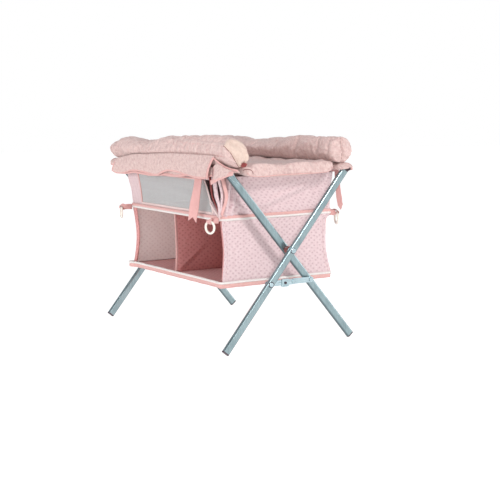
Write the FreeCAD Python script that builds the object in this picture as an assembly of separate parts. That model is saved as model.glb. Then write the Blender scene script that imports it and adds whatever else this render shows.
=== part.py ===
import FreeCAD, Part
import math, os

# Doll's folding changing table.
# Two nested X frames of flat-oval tube carry two top rails. A fabric tub hangs
# from the rails, with an open-fronted two-bay storage box below it, and a
# padded mat with two long bolsters lies on top.
# +Z up, X along the length, the open shelf front faces -Y.
# The origin is on the floor, under the middle of the table. Millimetres.

# ---------------------------------------------------------------- dimensions
TUBE_W = 16.0          # leg tube, wide side
TUBE_T = 10.0          # leg tube, thin side (along X)
TUBE_R = 4.0           # corner radius of the leg tube
TUBE_WALL = 1.2
X_OUT = 266.0          # middle plane of the outer frame's legs
X_IN = 242.0           # middle plane of the inner frame's legs
FOOT_Y = 158.0         # middle of a foot, front to back
PIVOT_Z = 196.4        # height of the crossing pivots
RAIL_Z = 357.5         # height of the two top rails
ALPHA = math.degrees(math.atan2(FOOT_Y, PIVOT_Z - 5.094))  # leg lean from upright
RAIL_R = 6.0
RAIL_WALL = 1.0
SLEEVE_R = 7.3
ELBOW_R = 8.0
PLUG_T = 2.5           # flange of a foot plug

BRACE_R = 83.0         # pivot to brace rivet, along a leg
LINK_H = 11.5          # brace strip height
LINK_T = 1.5
MID_Y = 8.0            # toggle rivet, off the middle towards the rear leg

BOX_X, BOX_Y = 203.0, 127.0     # outside of the storage box, half sizes
FLOOR_Z = 132.0                 # top of the storage floor
BOARD_H = 0.8                   # stiffener board in each bay, above the floor
RIM_Z = 260.5                   # white piping between box and tub
TUB_Z0, TUB_Z1 = 263.0, 348.4   # tub wall, bottom and top
TUB_X1, TUB_Y1 = 230.0, 131.0   # tub outside at the top, half sizes
SKIN = 2.0

BOL_Y, BOL_Z, BOL_R = 122.0, 391.5, 27.2   # bolsters
BOL_X = 278.0                              # half length with bulged ends
PAD_X = 270.0
PAD_Z0, PAD_Z1 = 349.0, 367.0

RING_R, RING_T = 11.75, 2.25    # ring: mean radius, half thickness
RING_X, RING_Y, RING_TOP = 204.0, 152.0, 259.5   # where a ring hangs in its loop
RING_YAW = 18.0                 # the front right loop points 18 deg off square

V = FreeCAD.Vector
X, Y, Z = V(1, 0, 0), V(0, 1, 0), V(0, 0, 1)
SA, CA = math.sin(math.radians(ALPHA)), math.cos(math.radians(ALPHA))
LEG_DN = (PIVOT_Z - 5.094) / CA      # pivot to foot end
LEG_UP = (RAIL_Z - PIVOT_Z) / CA     # pivot to rail axis

os.makedirs("parts", exist_ok=True)
OUT = {}


def keep(name, shape):
    OUT[name] = shape


def rrect(hx, hy, r, z):
    """Flat face: a rectangle with round corners, half sizes hx and hy."""
    pts = [(hx - r, -hy), (hx, -hy + r), (hx, hy - r), (hx - r, hy),
           (-hx + r, hy), (-hx, hy - r), (-hx, -hy + r), (-hx + r, -hy)]
    k = r * (1 - math.sqrt(0.5))
    mids = [(hx - k, -hy + k), (hx - k, hy - k), (-hx + k, hy - k), (-hx + k, -hy + k)]
    edges = []
    for i in range(4):
        a, b = pts[2 * i], pts[2 * i + 1]
        edges.append(Part.Arc(V(a[0], a[1], z), V(mids[i][0], mids[i][1], z), V(b[0], b[1], z)).toShape())
        c = pts[(2 * i + 2) % 8]
        edges.append(Part.LineSegment(V(b[0], b[1], z), V(c[0], c[1], z)).toShape())
    return Part.Wire(edges)


def slab(hx, hy, r, z0, z1):
    return Part.Face(rrect(hx, hy, r, z0)).extrude(V(0, 0, z1 - z0))


def hoop(hx, hy, r, z, tube):
    """A round tube bent to a rounded rectangle."""
    path = rrect(hx, hy, r, z)
    ring = Part.Wire([Part.Edge(Part.Circle(V(hx - r, -hy, z), X, tube))])
    s = path.makePipeShell([ring], True, True)
    return s


def box(x0, x1, y0, y1, z0, z1):
    return Part.makeBox(x1 - x0, y1 - y0, z1 - z0, V(x0, y0, z0))


def rod(x0, x1, y, z, r):
    return Part.makeCylinder(r, x1 - x0, V(x0, y, z), X)


def tube_sec(w, t, r, z0, z1, xc):
    """Flat-oval bar along Z: w across Y, t across X."""
    s = slab(t / 2.0, w / 2.0, r, z0, z1)
    s.translate(V(xc, 0, 0))
    return s


def mirror(s):
    return s.mirror(V(0, 0, 0), X)


def lean(s, sign):
    """Local upright frame (pivot at the origin) to its place. sign +1: top leans to +Y."""
    s = s.copy()
    s.rotate(V(0, 0, 0), X, -sign * ALPHA)
    s.translate(V(0, 0, PIVOT_Z))
    return s


# ---------------------------------------------------------------- the two frames
def frame(name, xc, sign, rail_name):
    for side, m in (("right", lambda s: s), ("left", mirror)):
        # leg: hollow flat-oval tube with cross holes for the pivot and brace rivets
        leg = tube_sec(TUBE_W, TUBE_T, TUBE_R, -LEG_DN + PLUG_T, LEG_UP - ELBOW_R, xc)
        leg = leg.cut(tube_sec(TUBE_W - 2 * TUBE_WALL, TUBE_T - 2 * TUBE_WALL, TUBE_R - TUBE_WALL,
                               -LEG_DN, LEG_UP, xc))
        leg = leg.cut(rod(xc - 10, xc + 10, 0, 0, 3.05))
        if sign > 0:
            leg = leg.cut(rod(xc - 10, xc + 10, 0, -BRACE_R, 2.5))
        keep("%s_leg_%s" % (name, side), lean(m(leg), sign))
        # foot plug: flange outside, push-fit shank inside the tube
        plug = tube_sec(TUBE_W, TUBE_T, TUBE_R, -LEG_DN, -LEG_DN + PLUG_T, xc)
        plug = plug.fuse(tube_sec(TUBE_W - 2 * TUBE_WALL, TUBE_T - 2 * TUBE_WALL, TUBE_R - TUBE_WALL,
                                  -LEG_DN + PLUG_T - 0.5, -LEG_DN + PLUG_T + 14, xc)).removeSplitter()
        keep("%s_foot_plug_%s" % (name, side), lean(m(plug), sign))
        # top elbow: shank in the leg, round knuckle on the rail axis, spigot in the rail
        elbow = rod(xc - 7.5, xc + 5.5, 0, LEG_UP, ELBOW_R)
        elbow = elbow.fuse(tube_sec(TUBE_W, TUBE_T, TUBE_R, LEG_UP - ELBOW_R, LEG_UP, xc))
        elbow = elbow.fuse(tube_sec(TUBE_W - 2 * TUBE_WALL, TUBE_T - 2 * TUBE_WALL, TUBE_R - TUBE_WALL,
                                    LEG_UP - ELBOW_R - 18, LEG_UP, xc))
        elbow = elbow.fuse(rod(xc - 7.5 - 14, xc - 7, 0, LEG_UP, RAIL_R - RAIL_WALL)).removeSplitter()
        keep("%s_elbow_%s" % (rail_name, side), lean(m(elbow), sign))
    xr = xc - 7.5
    rail = rod(-xr, xr, 0, LEG_UP, RAIL_R).cut(rod(-xr - 1, xr + 1, 0, LEG_UP, RAIL_R - RAIL_WALL))
    keep("%s_rail" % rail_name, lean(rail, sign))
    sleeve = rod(-225, 225, 0, LEG_UP, SLEEVE_R).cut(rod(-226, 226, 0, LEG_UP, RAIL_R))
    keep("%s_rail_sleeve" % rail_name, lean(sleeve, sign))


frame("outer", X_OUT, +1, "rear")
frame("inner", X_IN, -1, "front")

# ---------------------------------------------------------------- crossing pivots
for side, m in (("right", lambda s: s), ("left", mirror)):
    x0, x1 = X_IN - TUBE_T / 2, X_OUT + TUBE_T / 2
    riv = rod(x0 - 0.3, x1 + 0.3, 0, PIVOT_Z, 3.0)
    for xa, xb, r in ((x0 - 1.9, x0 - 0.3, 5.5), (x1 + 0.3, x1 + 2.1, 5.5)):
        head = rod(xa, xb, 0, PIVOT_Z, r)
        e = [e for e in head.Edges if abs(e.CenterOfMass.x - (xa if xa < x0 else xb)) < 0.01 and e.Closed]
        head = head.makeFillet(1.2, e[:1])
        riv = riv.fuse(head)
    keep("pivot_rivet_%s" % side, m(riv.removeSplitter()))
    sp = rod(X_IN + TUBE_T / 2 + 0.3, X_OUT - TUBE_T / 2 - 0.3, 0, PIVOT_Z, 7.5)
    sp = sp.cut(rod(X_IN, X_OUT, 0, PIVOT_Z, 3.0))
    keep("pivot_spacer_%s" % side, m(sp))

# ---------------------------------------------------------------- folding braces
BY = BRACE_R * SA                 # brace rivets, front and rear of the pivot
BZ = PIVOT_Z - BRACE_R * CA
XL0 = X_OUT - TUBE_T / 2 - 4.5    # outer link, inner face (256.5)
XL1 = XL0 + LINK_T
XM1 = XL0 - 1.8                   # inner link, outer face (254.7)
XM0 = XM1 - LINK_T


def strip(x0, x1, ya, yb, z, h):
    s = box(x0, x1, ya, yb, z - h / 2, z + h / 2)
    s = s.fuse(rod(x0, x1, ya, z, h / 2)).fuse(rod(x0, x1, yb, z, h / 2))
    return s.removeSplitter()


for side, m in (("right", lambda s: s), ("left", mirror)):
    # rivet through the outer leg, its bush, and the outer link's end
    riv = rod(XL0 - 0.05, X_OUT + TUBE_T / 2, -BY, BZ, 2.5)
    head = rod(X_OUT + TUBE_T / 2, X_OUT + TUBE_T / 2 + 1.6, -BY, BZ, 5.0)
    e = [e for e in head.Edges if abs(e.CenterOfMass.x - (X_OUT + TUBE_T / 2 + 1.6)) < 0.01 and e.Closed]
    head = head.makeFillet(1.1, e[:1])
    riv = riv.fuse(head).fuse(rod(XL0 - 1.25, XL0 - 0.05, -BY, BZ, 4.5))
    keep("brace_rivet_outer_%s" % side, m(riv.removeSplitter()))
    bush = rod(XL1 + 0.05, X_OUT - TUBE_T / 2, -BY, BZ, 5.0).cut(rod(XL0, X_OUT, -BY, BZ, 2.5))
    keep("brace_bush_outer_%s" % side, m(bush))
    # outer link
    lk = strip(XL0, XL1, -BY, MID_Y, BZ, LINK_H)
    lk = lk.cut(rod(XL0 - 1, XL1 + 1, -BY, BZ, 2.55)).cut(rod(XL0 - 1, XL1 + 1, MID_Y, BZ, 2.0))
    keep("brace_link_outer_%s" % side, m(lk))
    # toggle rivet with its washer, carried by the outer link
    mid = rod(XM0 - 0.05, XL1, MID_Y, BZ, 2.0)
    mid = mid.fuse(rod(XM1 + 0.05, XL0, MID_Y, BZ, 4.0))
    mid = mid.fuse(rod(XL1, XL1 + 1.2, MID_Y, BZ, 3.8)).fuse(rod(XM0 - 1.2, XM0 - 0.05, MID_Y, BZ, 3.8))
    keep("toggle_rivet_%s" % side, m(mid.removeSplitter()))
    # inner link
    lk = strip(XM0, XM1, MID_Y, BY, BZ, LINK_H)
    lk = lk.cut(rod(XM0 - 1, XM1 + 1, MID_Y, BZ, 2.05)).cut(rod(XM0 - 1, XM1 + 1, BY, BZ, 2.5))
    keep("brace_link_inner_%s" % side, m(lk))
    # its far rivet with the bush towards the inner leg
    rv = rod(XM0, XM1, BY, BZ, 2.5).fuse(rod(XM1, XM1 + 1.3, BY, BZ, 4.5))
    rv = rv.fuse(rod(X_IN + TUBE_T / 2 + 0.35, XM0, BY, BZ, 5.0))
    keep("brace_rivet_inner_%s" % side, m(rv.removeSplitter()))
    # lock collar: a bent clip round the outer link, with a thumb tab below
    y0, y1 = -20.0, -4.0
    c = box(XL0 - 1.3, XL1 + 1.3, y0, y1, BZ - LINK_H / 2 - 3.0, BZ + LINK_H / 2 + 1.3)
    c = c.cut(box(XL0 - 0.3, XL1 + 0.3, y0 - 1, y1 + 1, BZ - LINK_H / 2 - 0.3, BZ + LINK_H / 2 + 0.3))
    c = c.fuse(box(XL1 + 1.3, XL1 + 2.3, y0 + 4, y1 - 4, BZ - LINK_H / 2 - 3.0, BZ - LINK_H / 2 + 1.5))
    keep("lock_collar_%s" % side, m(c.removeSplitter()))

# ---------------------------------------------------------------- storage box
# floor board, with a stiffener lining each bay 0.8 mm above the sewn edge
floor = slab(BOX_X - 2, BOX_Y - 2, 8, FLOOR_Z - 4, FLOOR_Z)
for m in (lambda s: s, mirror):
    floor = floor.fuse(m(box(5, 193, -115, 115, FLOOR_Z - 1, FLOOR_Z + BOARD_H)))
keep("storage_floor", floor.removeSplitter())
keep("floor_binding", slab(BOX_X, BOX_Y, 10, FLOOR_Z - 9, FLOOR_Z - 0.7).cut(
    slab(BOX_X - 2, BOX_Y - 2, 8, FLOOR_Z - 10, FLOOR_Z + 1)))
keep("floor_piping", hoop(BOX_X + 0.2, BOX_Y + 0.2, 10.2, FLOOR_Z + 1.6, 2.2))
WALL_TOP = RIM_Z - 2.5
wall = box(BOX_X - 4.5, BOX_X - 2.5, -BOX_Y + 9, BOX_Y - 9, FLOOR_Z, WALL_TOP)
keep("storage_wall_right", wall)
keep("storage_wall_left", mirror(wall))
keep("storage_wall_back", box(-BOX_X + 9, BOX_X - 9, BOX_Y - 4.5, BOX_Y - 2.5, FLOOR_Z, WALL_TOP))
keep("storage_divider", box(-1, 1, -BOX_Y + 3, BOX_Y - 4.8, FLOOR_Z, WALL_TOP))
keep("rim_piping", hoop(BOX_X - 1, BOX_Y - 1, 9, RIM_Z, 2.4))
keep("rim_binding", hoop(BOX_X + 1.2, BOX_Y + 1.2, 11.2, RIM_Z + 4.7, 1.8))

# ---------------------------------------------------------------- tub
keep("tub_floor", slab(BOX_X - 3.6, BOX_Y - 3.6, 7, WALL_TOP + 0.2, TUB_Z0 - 0.1))


def tub_loft(inset, grow):
    dz = grow
    a = rrect(BOX_X - 2.1 - inset, BOX_Y - 2.1 - inset, 8 - inset, TUB_Z0 - dz)
    b = rrect(TUB_X1 - inset, TUB_Y1 - inset, 14 - inset, TUB_Z1 + dz)
    return Part.makeLoft([a, b], True, True)


shell = tub_loft(0, 0).cut(tub_loft(SKIN, 0.6))
window = box(-158, 158, -BOX_Y - 12, -BOX_Y + 20, TUB_Z0 + 9, TUB_Z1 - 6)
keep("tub_shell", shell.cut(window))
keep("tub_mesh_panel", shell.common(window))

# ---------------------------------------------------------------- ring loops and rings


def ring_set(sx, sy):
    # loop: ribbon doubled round the ring's top, standing out from the rim corner
    yaw = math.radians(RING_YAW)
    d = V(math.sin(yaw), -math.cos(yaw), 0)          # outwards
    reach = 20.0
    lp = Part.makeCylinder(4.4, 8, V(-4, 0, 0), X)
    lp = lp.fuse(box(-4, 4, 0, reach, -1.6, 1.6))
    lp = lp.cut(Part.makeCylinder(3.3, 10, V(-5, 0, 0), X)).removeSplitter()
    lp.rotate(V(0, 0, 0), Z, RING_YAW)
    top = V(RING_X, -RING_Y, RING_TOP)
    lp.translate(top)
    ring = Part.makeTorus(RING_R, RING_T, V(0, 0, -RING_R), Y)
    ring.rotate(V(0, 0, 0), Z, RING_YAW)
    ring.translate(top)
    if sx < 0:
        lp, ring = lp.mirror(V(0, 0, 0), X), ring.mirror(V(0, 0, 0), X)
    if sy > 0:
        lp, ring = lp.mirror(V(0, 0, 0), Y), ring.mirror(V(0, 0, 0), Y)
    return lp, ring


loops = []
for sy, fb in ((-1, "front"), (1, "rear")):
    for sx, side in ((1, "right"), (-1, "left")):
        lp, ring = ring_set(sx, sy)
        loops.append(lp.Solids[0])
        keep("ring_%s_%s" % (fb, side), ring)
keep("ring_loops", Part.makeCompound(loops))

# ---------------------------------------------------------------- mat


def bolster(sy):
    c = Part.makeCylinder(BOL_R, 2 * BOL_X, V(-BOL_X, sy * BOL_Y, BOL_Z), X)
    return c.makeFillet(14, [e for e in c.Edges if e.Closed and e.Length > 10
                             and abs(abs(e.CenterOfMass.x) - BOL_X) < 0.1])


keep("mat_bolster_front", bolster(-1))
keep("mat_bolster_rear", bolster(1))
pad = box(-PAD_X, PAD_X, -112, 112, PAD_Z0, PAD_Z1)
for sy in (-1, 1):
    pad = pad.cut(Part.makeCylinder(BOL_R + 0.2, 700, V(-350, sy * BOL_Y, BOL_Z), X))
keep("mat_pad", pad)
keep("mat_skirt_front", box(-245, 205, -152.5, -151, 341, 386))
keep("mat_skirt_rear", box(-205, 205, 151, 152.5, 341, 386))
# flap at the front right corner: a four-sided cloth, lower at its front end
fa, fb_ = V(216, -152, 0), V(281, -143.5, 0)
n = (fb_ - fa).cross(Z)
n.normalize()
pts = [V(fa.x, fa.y, 334), V(fb_.x, fb_.y, 353), V(fb_.x, fb_.y, 370), V(fa.x, fa.y, 370)]
flap = Part.Face(Part.makePolygon(pts + [pts[0]])).extrude(n * 1.5)
keep("mat_end_flap", flap)
keep("tie_ribbon_front", box(130, 150, -142.6, -141.6, 252, 349))
keep("tie_ribbon_rear", box(214, 232, 141.6, 142.6, 262, 349))

for name, shape in OUT.items():
    bad = [] if shape.isValid() else ["INVALID"]
    solids = shape.Solids
    if len(solids) == 1:
        shape = solids[0]
    shape.exportStep("parts/%s.step" % name)
    b = shape.BoundBox
    print("%-26s solids %d vol %9.1f  x %.1f..%.1f y %.1f..%.1f z %.1f..%.1f %s" % (
        name, len(solids), shape.Volume, b.XMin, b.XMax, b.YMin, b.YMax, b.ZMin, b.ZMax, bad))
print(len(OUT), "nodes", "alpha", round(ALPHA, 3), "leg up", round(LEG_UP, 2), "rail y", round(LEG_UP * SA, 2), "BY", round(BY, 2), "BZ", round(BZ, 2))
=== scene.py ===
import bpy
import bmesh
import math
import numpy as np
from mathutils import Vector, Matrix, noise
from mathutils.bvhtree import BVHTree


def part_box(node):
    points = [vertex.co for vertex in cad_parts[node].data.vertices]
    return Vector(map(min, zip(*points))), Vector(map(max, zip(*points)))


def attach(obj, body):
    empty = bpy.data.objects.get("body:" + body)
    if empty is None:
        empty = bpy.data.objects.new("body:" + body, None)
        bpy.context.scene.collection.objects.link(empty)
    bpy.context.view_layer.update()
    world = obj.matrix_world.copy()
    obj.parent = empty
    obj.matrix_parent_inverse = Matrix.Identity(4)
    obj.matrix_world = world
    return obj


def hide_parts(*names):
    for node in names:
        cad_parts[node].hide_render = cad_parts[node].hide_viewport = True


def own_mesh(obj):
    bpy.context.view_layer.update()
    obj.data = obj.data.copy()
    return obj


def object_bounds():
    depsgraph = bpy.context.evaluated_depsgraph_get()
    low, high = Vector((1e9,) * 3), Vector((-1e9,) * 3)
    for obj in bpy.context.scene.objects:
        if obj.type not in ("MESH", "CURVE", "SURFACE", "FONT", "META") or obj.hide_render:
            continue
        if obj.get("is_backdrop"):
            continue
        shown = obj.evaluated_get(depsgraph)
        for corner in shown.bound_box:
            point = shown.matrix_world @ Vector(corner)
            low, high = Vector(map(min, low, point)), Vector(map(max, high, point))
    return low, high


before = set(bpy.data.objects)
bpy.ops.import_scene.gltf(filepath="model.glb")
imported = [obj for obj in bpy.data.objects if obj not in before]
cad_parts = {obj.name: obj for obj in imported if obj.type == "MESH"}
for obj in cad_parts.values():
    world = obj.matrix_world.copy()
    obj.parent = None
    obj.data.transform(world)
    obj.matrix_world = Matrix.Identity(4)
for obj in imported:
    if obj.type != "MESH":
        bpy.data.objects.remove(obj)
CAD_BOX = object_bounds()
MM = 0.001
SQ = {"fabric_box": 0.27, "mat": 0.31, "pad": 0.24}      # share of the depth left when the frames are folded

# ------------------------------------------------------------------ small maths


def unit(a):
    a = np.asarray(a, float)
    n = np.linalg.norm(a, axis=-1, keepdims=True)
    return a / np.maximum(n, 1e-12)


def curve(x, xs, ys):
    """Smooth interpolation through points (Catmull-Rom, flat outside)."""
    xs = np.asarray(xs, float)
    ys = np.asarray(ys, float)
    x = np.clip(np.asarray(x, float), xs[0], xs[-1])
    m = np.gradient(ys, xs)
    i = np.clip(np.searchsorted(xs, x) - 1, 0, len(xs) - 2)
    h = xs[i + 1] - xs[i]
    t = (x - xs[i]) / h
    return ((2 * t ** 3 - 3 * t ** 2 + 1) * ys[i] + (t ** 3 - 2 * t ** 2 + t) * h * m[i]
            + (-2 * t ** 3 + 3 * t ** 2) * ys[i + 1] + (t ** 3 - t ** 2) * h * m[i + 1])


def step(a, b, x):
    t = np.clip((np.asarray(x, float) - a) / (b - a), 0, 1)
    return t * t * (3 - 2 * t)


def nz(x, y, z, seed=0.0):
    """Perlin noise -1..1, arguments already scaled."""
    return noise.noise(Vector((x + 31.7 * seed, y - 12.3 * seed, z + 7.9 * seed)))


# ------------------------------------------------------------------ mesh builders


def build(name, verts, faces, loop_uv=None):
    me = bpy.data.meshes.new(name)
    me.from_pydata([tuple(float(c) * MM for c in v) for v in verts], [], faces)
    me.update()
    me.polygons.foreach_set("use_smooth", [True] * len(me.polygons))
    if loop_uv is not None:
        layer = me.uv_layers.new(name="UVMap")
        layer.data.foreach_set("uv", (np.asarray(loop_uv, float) * MM).ravel())
    o = bpy.data.objects.new(name, me)
    bpy.context.collection.objects.link(o)
    return o


def grid(name, P, UV, close_u=False, close_v=False, skip=None, caps=False):
    """A sheet of quads through the points P[i][j], in mm. UV is in mm too."""
    P = np.asarray(P, float)
    nu, nv = P.shape[:2]
    faces, luv = [], []
    for i in range(nu if close_u else nu - 1):
        for j in range(nv if close_v else nv - 1):
            if skip is not None and skip(i, j):
                continue
            i2, j2 = (i + 1) % nu, (j + 1) % nv
            faces.append((i * nv + j, i2 * nv + j, i2 * nv + j2, i * nv + j2))
            luv += [UV[i][j], UV[i + 1][j], UV[i + 1][j + 1], UV[i][j + 1]]
    if caps:
        a = list(range(nv))
        b = [(nu - 1) * nv + k for k in range(nv)]
        faces.append(tuple(a))
        luv += [UV[0][k] for k in range(nv)]
        faces.append(tuple(reversed(b)))
        luv += [UV[nu - 1][k] for k in reversed(range(nv))]
    o = build(name, P.reshape(-1, 3), faces, luv)
    tidy(o, fix_normals=caps or (close_u and close_v))
    return o


def tidy(o, fix_normals=True):
    bm = bmesh.new()
    bm.from_mesh(o.data)
    loose = [v for v in bm.verts if not v.link_faces]
    if loose:
        bmesh.ops.delete(bm, geom=loose, context="VERTS")
    if fix_normals:
        bmesh.ops.recalc_face_normals(bm, faces=bm.faces)
    bm.to_mesh(o.data)
    bm.free()


def bake(o):
    """Apply every modifier."""
    dg = bpy.context.evaluated_depsgraph_get()
    dg.update()
    me = bpy.data.meshes.new_from_object(o.evaluated_get(dg), preserve_all_data_layers=True, depsgraph=dg)
    o.modifiers.clear()
    old = o.data
    o.data = me
    bpy.data.meshes.remove(old)
    me.polygons.foreach_set("use_smooth", [True] * len(me.polygons))
    return o


def solid(o, thick, offset=0.0, sub=0):
    m = o.modifiers.new("s", "SOLIDIFY")
    m.thickness = thick * MM
    m.offset = offset
    m.use_even_offset = False
    if sub:
        s = o.modifiers.new("sub", "SUBSURF")
        s.levels = s.render_levels = sub
    return bake(o)


def sweep(name, P, sec, closed=False, up=(0, 0, 1), caps=True):
    """A section carried along a path. sec(i, share) gives the section's points (side, up)."""
    P = np.asarray(P, float)
    n = len(P)
    T = (np.roll(P, -1, 0) - np.roll(P, 1, 0)) if closed else np.gradient(P, axis=0)
    T = unit(T)
    U = np.asarray(up, float)
    if U.ndim == 1:
        U = np.tile(U, (n, 1))
    S = unit(np.cross(T, U))
    W = np.cross(S, T)
    Q = np.array([sec(i, i / max(n - 1, 1)) for i in range(n)], float)
    V = P[:, None] + S[:, None] * Q[..., 0:1] + W[:, None] * Q[..., 1:2]
    along = np.concatenate([[0], np.cumsum(np.linalg.norm(np.diff(np.vstack([P, P[:1]]), axis=0), axis=1))])
    q = np.vstack([Q[0], Q[0][:1]])
    round_ = np.concatenate([[0], np.cumsum(np.linalg.norm(np.diff(q, axis=0), axis=1))])
    UV = [[(along[i], round_[j]) for j in range(len(round_))] for i in range(n + 1)]
    return grid(name, V, UV, close_u=closed, close_v=True, caps=caps and not closed)


def oval(rx, ry, n=10, power=1.0, dx=0.0, dy=0.0):
    a = np.arange(n) * 2 * math.pi / n
    c, s = np.cos(a), np.sin(a)
    return np.stack([np.sign(c) * np.abs(c) ** power * rx + dx, np.sign(s) * np.abs(s) ** power * ry + dy], 1)


def rrect(hx, hy, r, side=60, arc=8):
    """Points round a rectangle with round corners, anticlockwise seen from above."""
    out = []
    for cx, cy, a0 in ((1, -1, -90), (1, 1, 0), (-1, 1, 90), (-1, -1, 180)):
        for k in range(arc + 1):
            a = math.radians(a0 + 90.0 * k / arc)
            out.append((cx * (hx - r) + r * math.cos(a), cy * (hy - r) + r * math.sin(a)))
        nxt = {(1, -1): ((hx, -hy + r), (hx, hy - r)), (1, 1): ((hx - r, hy), (-hx + r, hy)),
               (-1, 1): ((-hx, hy - r), (-hx, -hy + r)), (-1, -1): ((-hx + r, -hy), (hx - r, -hy))}[(cx, cy)]
        for k in range(1, side):
            t = k / side
            out.append((nxt[0][0] * (1 - t) + nxt[1][0] * t, nxt[0][1] * (1 - t) + nxt[1][1] * t))
    return np.array(out)


def thread(name, P, N, pitch=3.6, length=2.4, r=0.22, lift=0.12):
    """Stitches: short rounded threads lying along the path P, whose surface normals are N."""
    P, N = np.asarray(P, float), unit(N)
    d = np.concatenate([[0], np.cumsum(np.linalg.norm(np.diff(P, axis=0), axis=1))])
    if d[-1] < pitch:
        return None
    verts, faces, luv = [], [], []
    ring = 5
    for s in np.arange(pitch / 2, d[-1] - length, pitch):
        pts = []
        for k, rr in ((0, 0.35), (0.25, 1.0), (0.5, 1.1), (0.75, 1.0), (1, 0.35)):
            q = s + k * length
            p = np.array([np.interp(q, d, P[:, c]) for c in range(3)])
            n = unit([np.interp(q, d, N[:, c]) for c in range(3)])
            pts.append((p + n * (lift - 0.25 * (1 - math.sin(math.pi * k))), n, rr))
        t = unit(pts[-1][0] - pts[0][0])
        base = len(verts)
        for p, n, rr in pts:
            b = np.cross(t, n)
            for a in range(ring):
                an = a * 2 * math.pi / ring
                verts.append(p + (b * math.cos(an) + n * math.sin(an)) * r * rr)
        for i in range(len(pts) - 1):
            for a in range(ring):
                a2 = (a + 1) % ring
                faces.append((base + i * ring + a, base + i * ring + a2, base + (i + 1) * ring + a2, base + (i + 1) * ring + a))
                luv += [(s, a), (s, a + 1), (s + 1, a + 1), (s + 1, a)]
        faces.append(tuple(base + a for a in reversed(range(ring))))
        luv += [(s, 0)] * ring
        faces.append(tuple(base + (len(pts) - 1) * ring + a for a in range(ring)))
        luv += [(s, 0)] * ring
    return build(name, verts, faces, luv)


# ------------------------------------------------------------------ materials


def lin(r, g, b):
    return tuple(((c / 255.0) / 12.92 if c / 255.0 <= 0.04045 else ((c / 255.0 + 0.055) / 1.055) ** 2.4) for c in (r, g, b)) + (1.0,)


def blank(name):
    m = bpy.data.materials.new(name)
    m.use_nodes = True
    return m, m.node_tree.nodes, m.node_tree.links, m.node_tree.nodes["Principled BSDF"]


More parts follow.
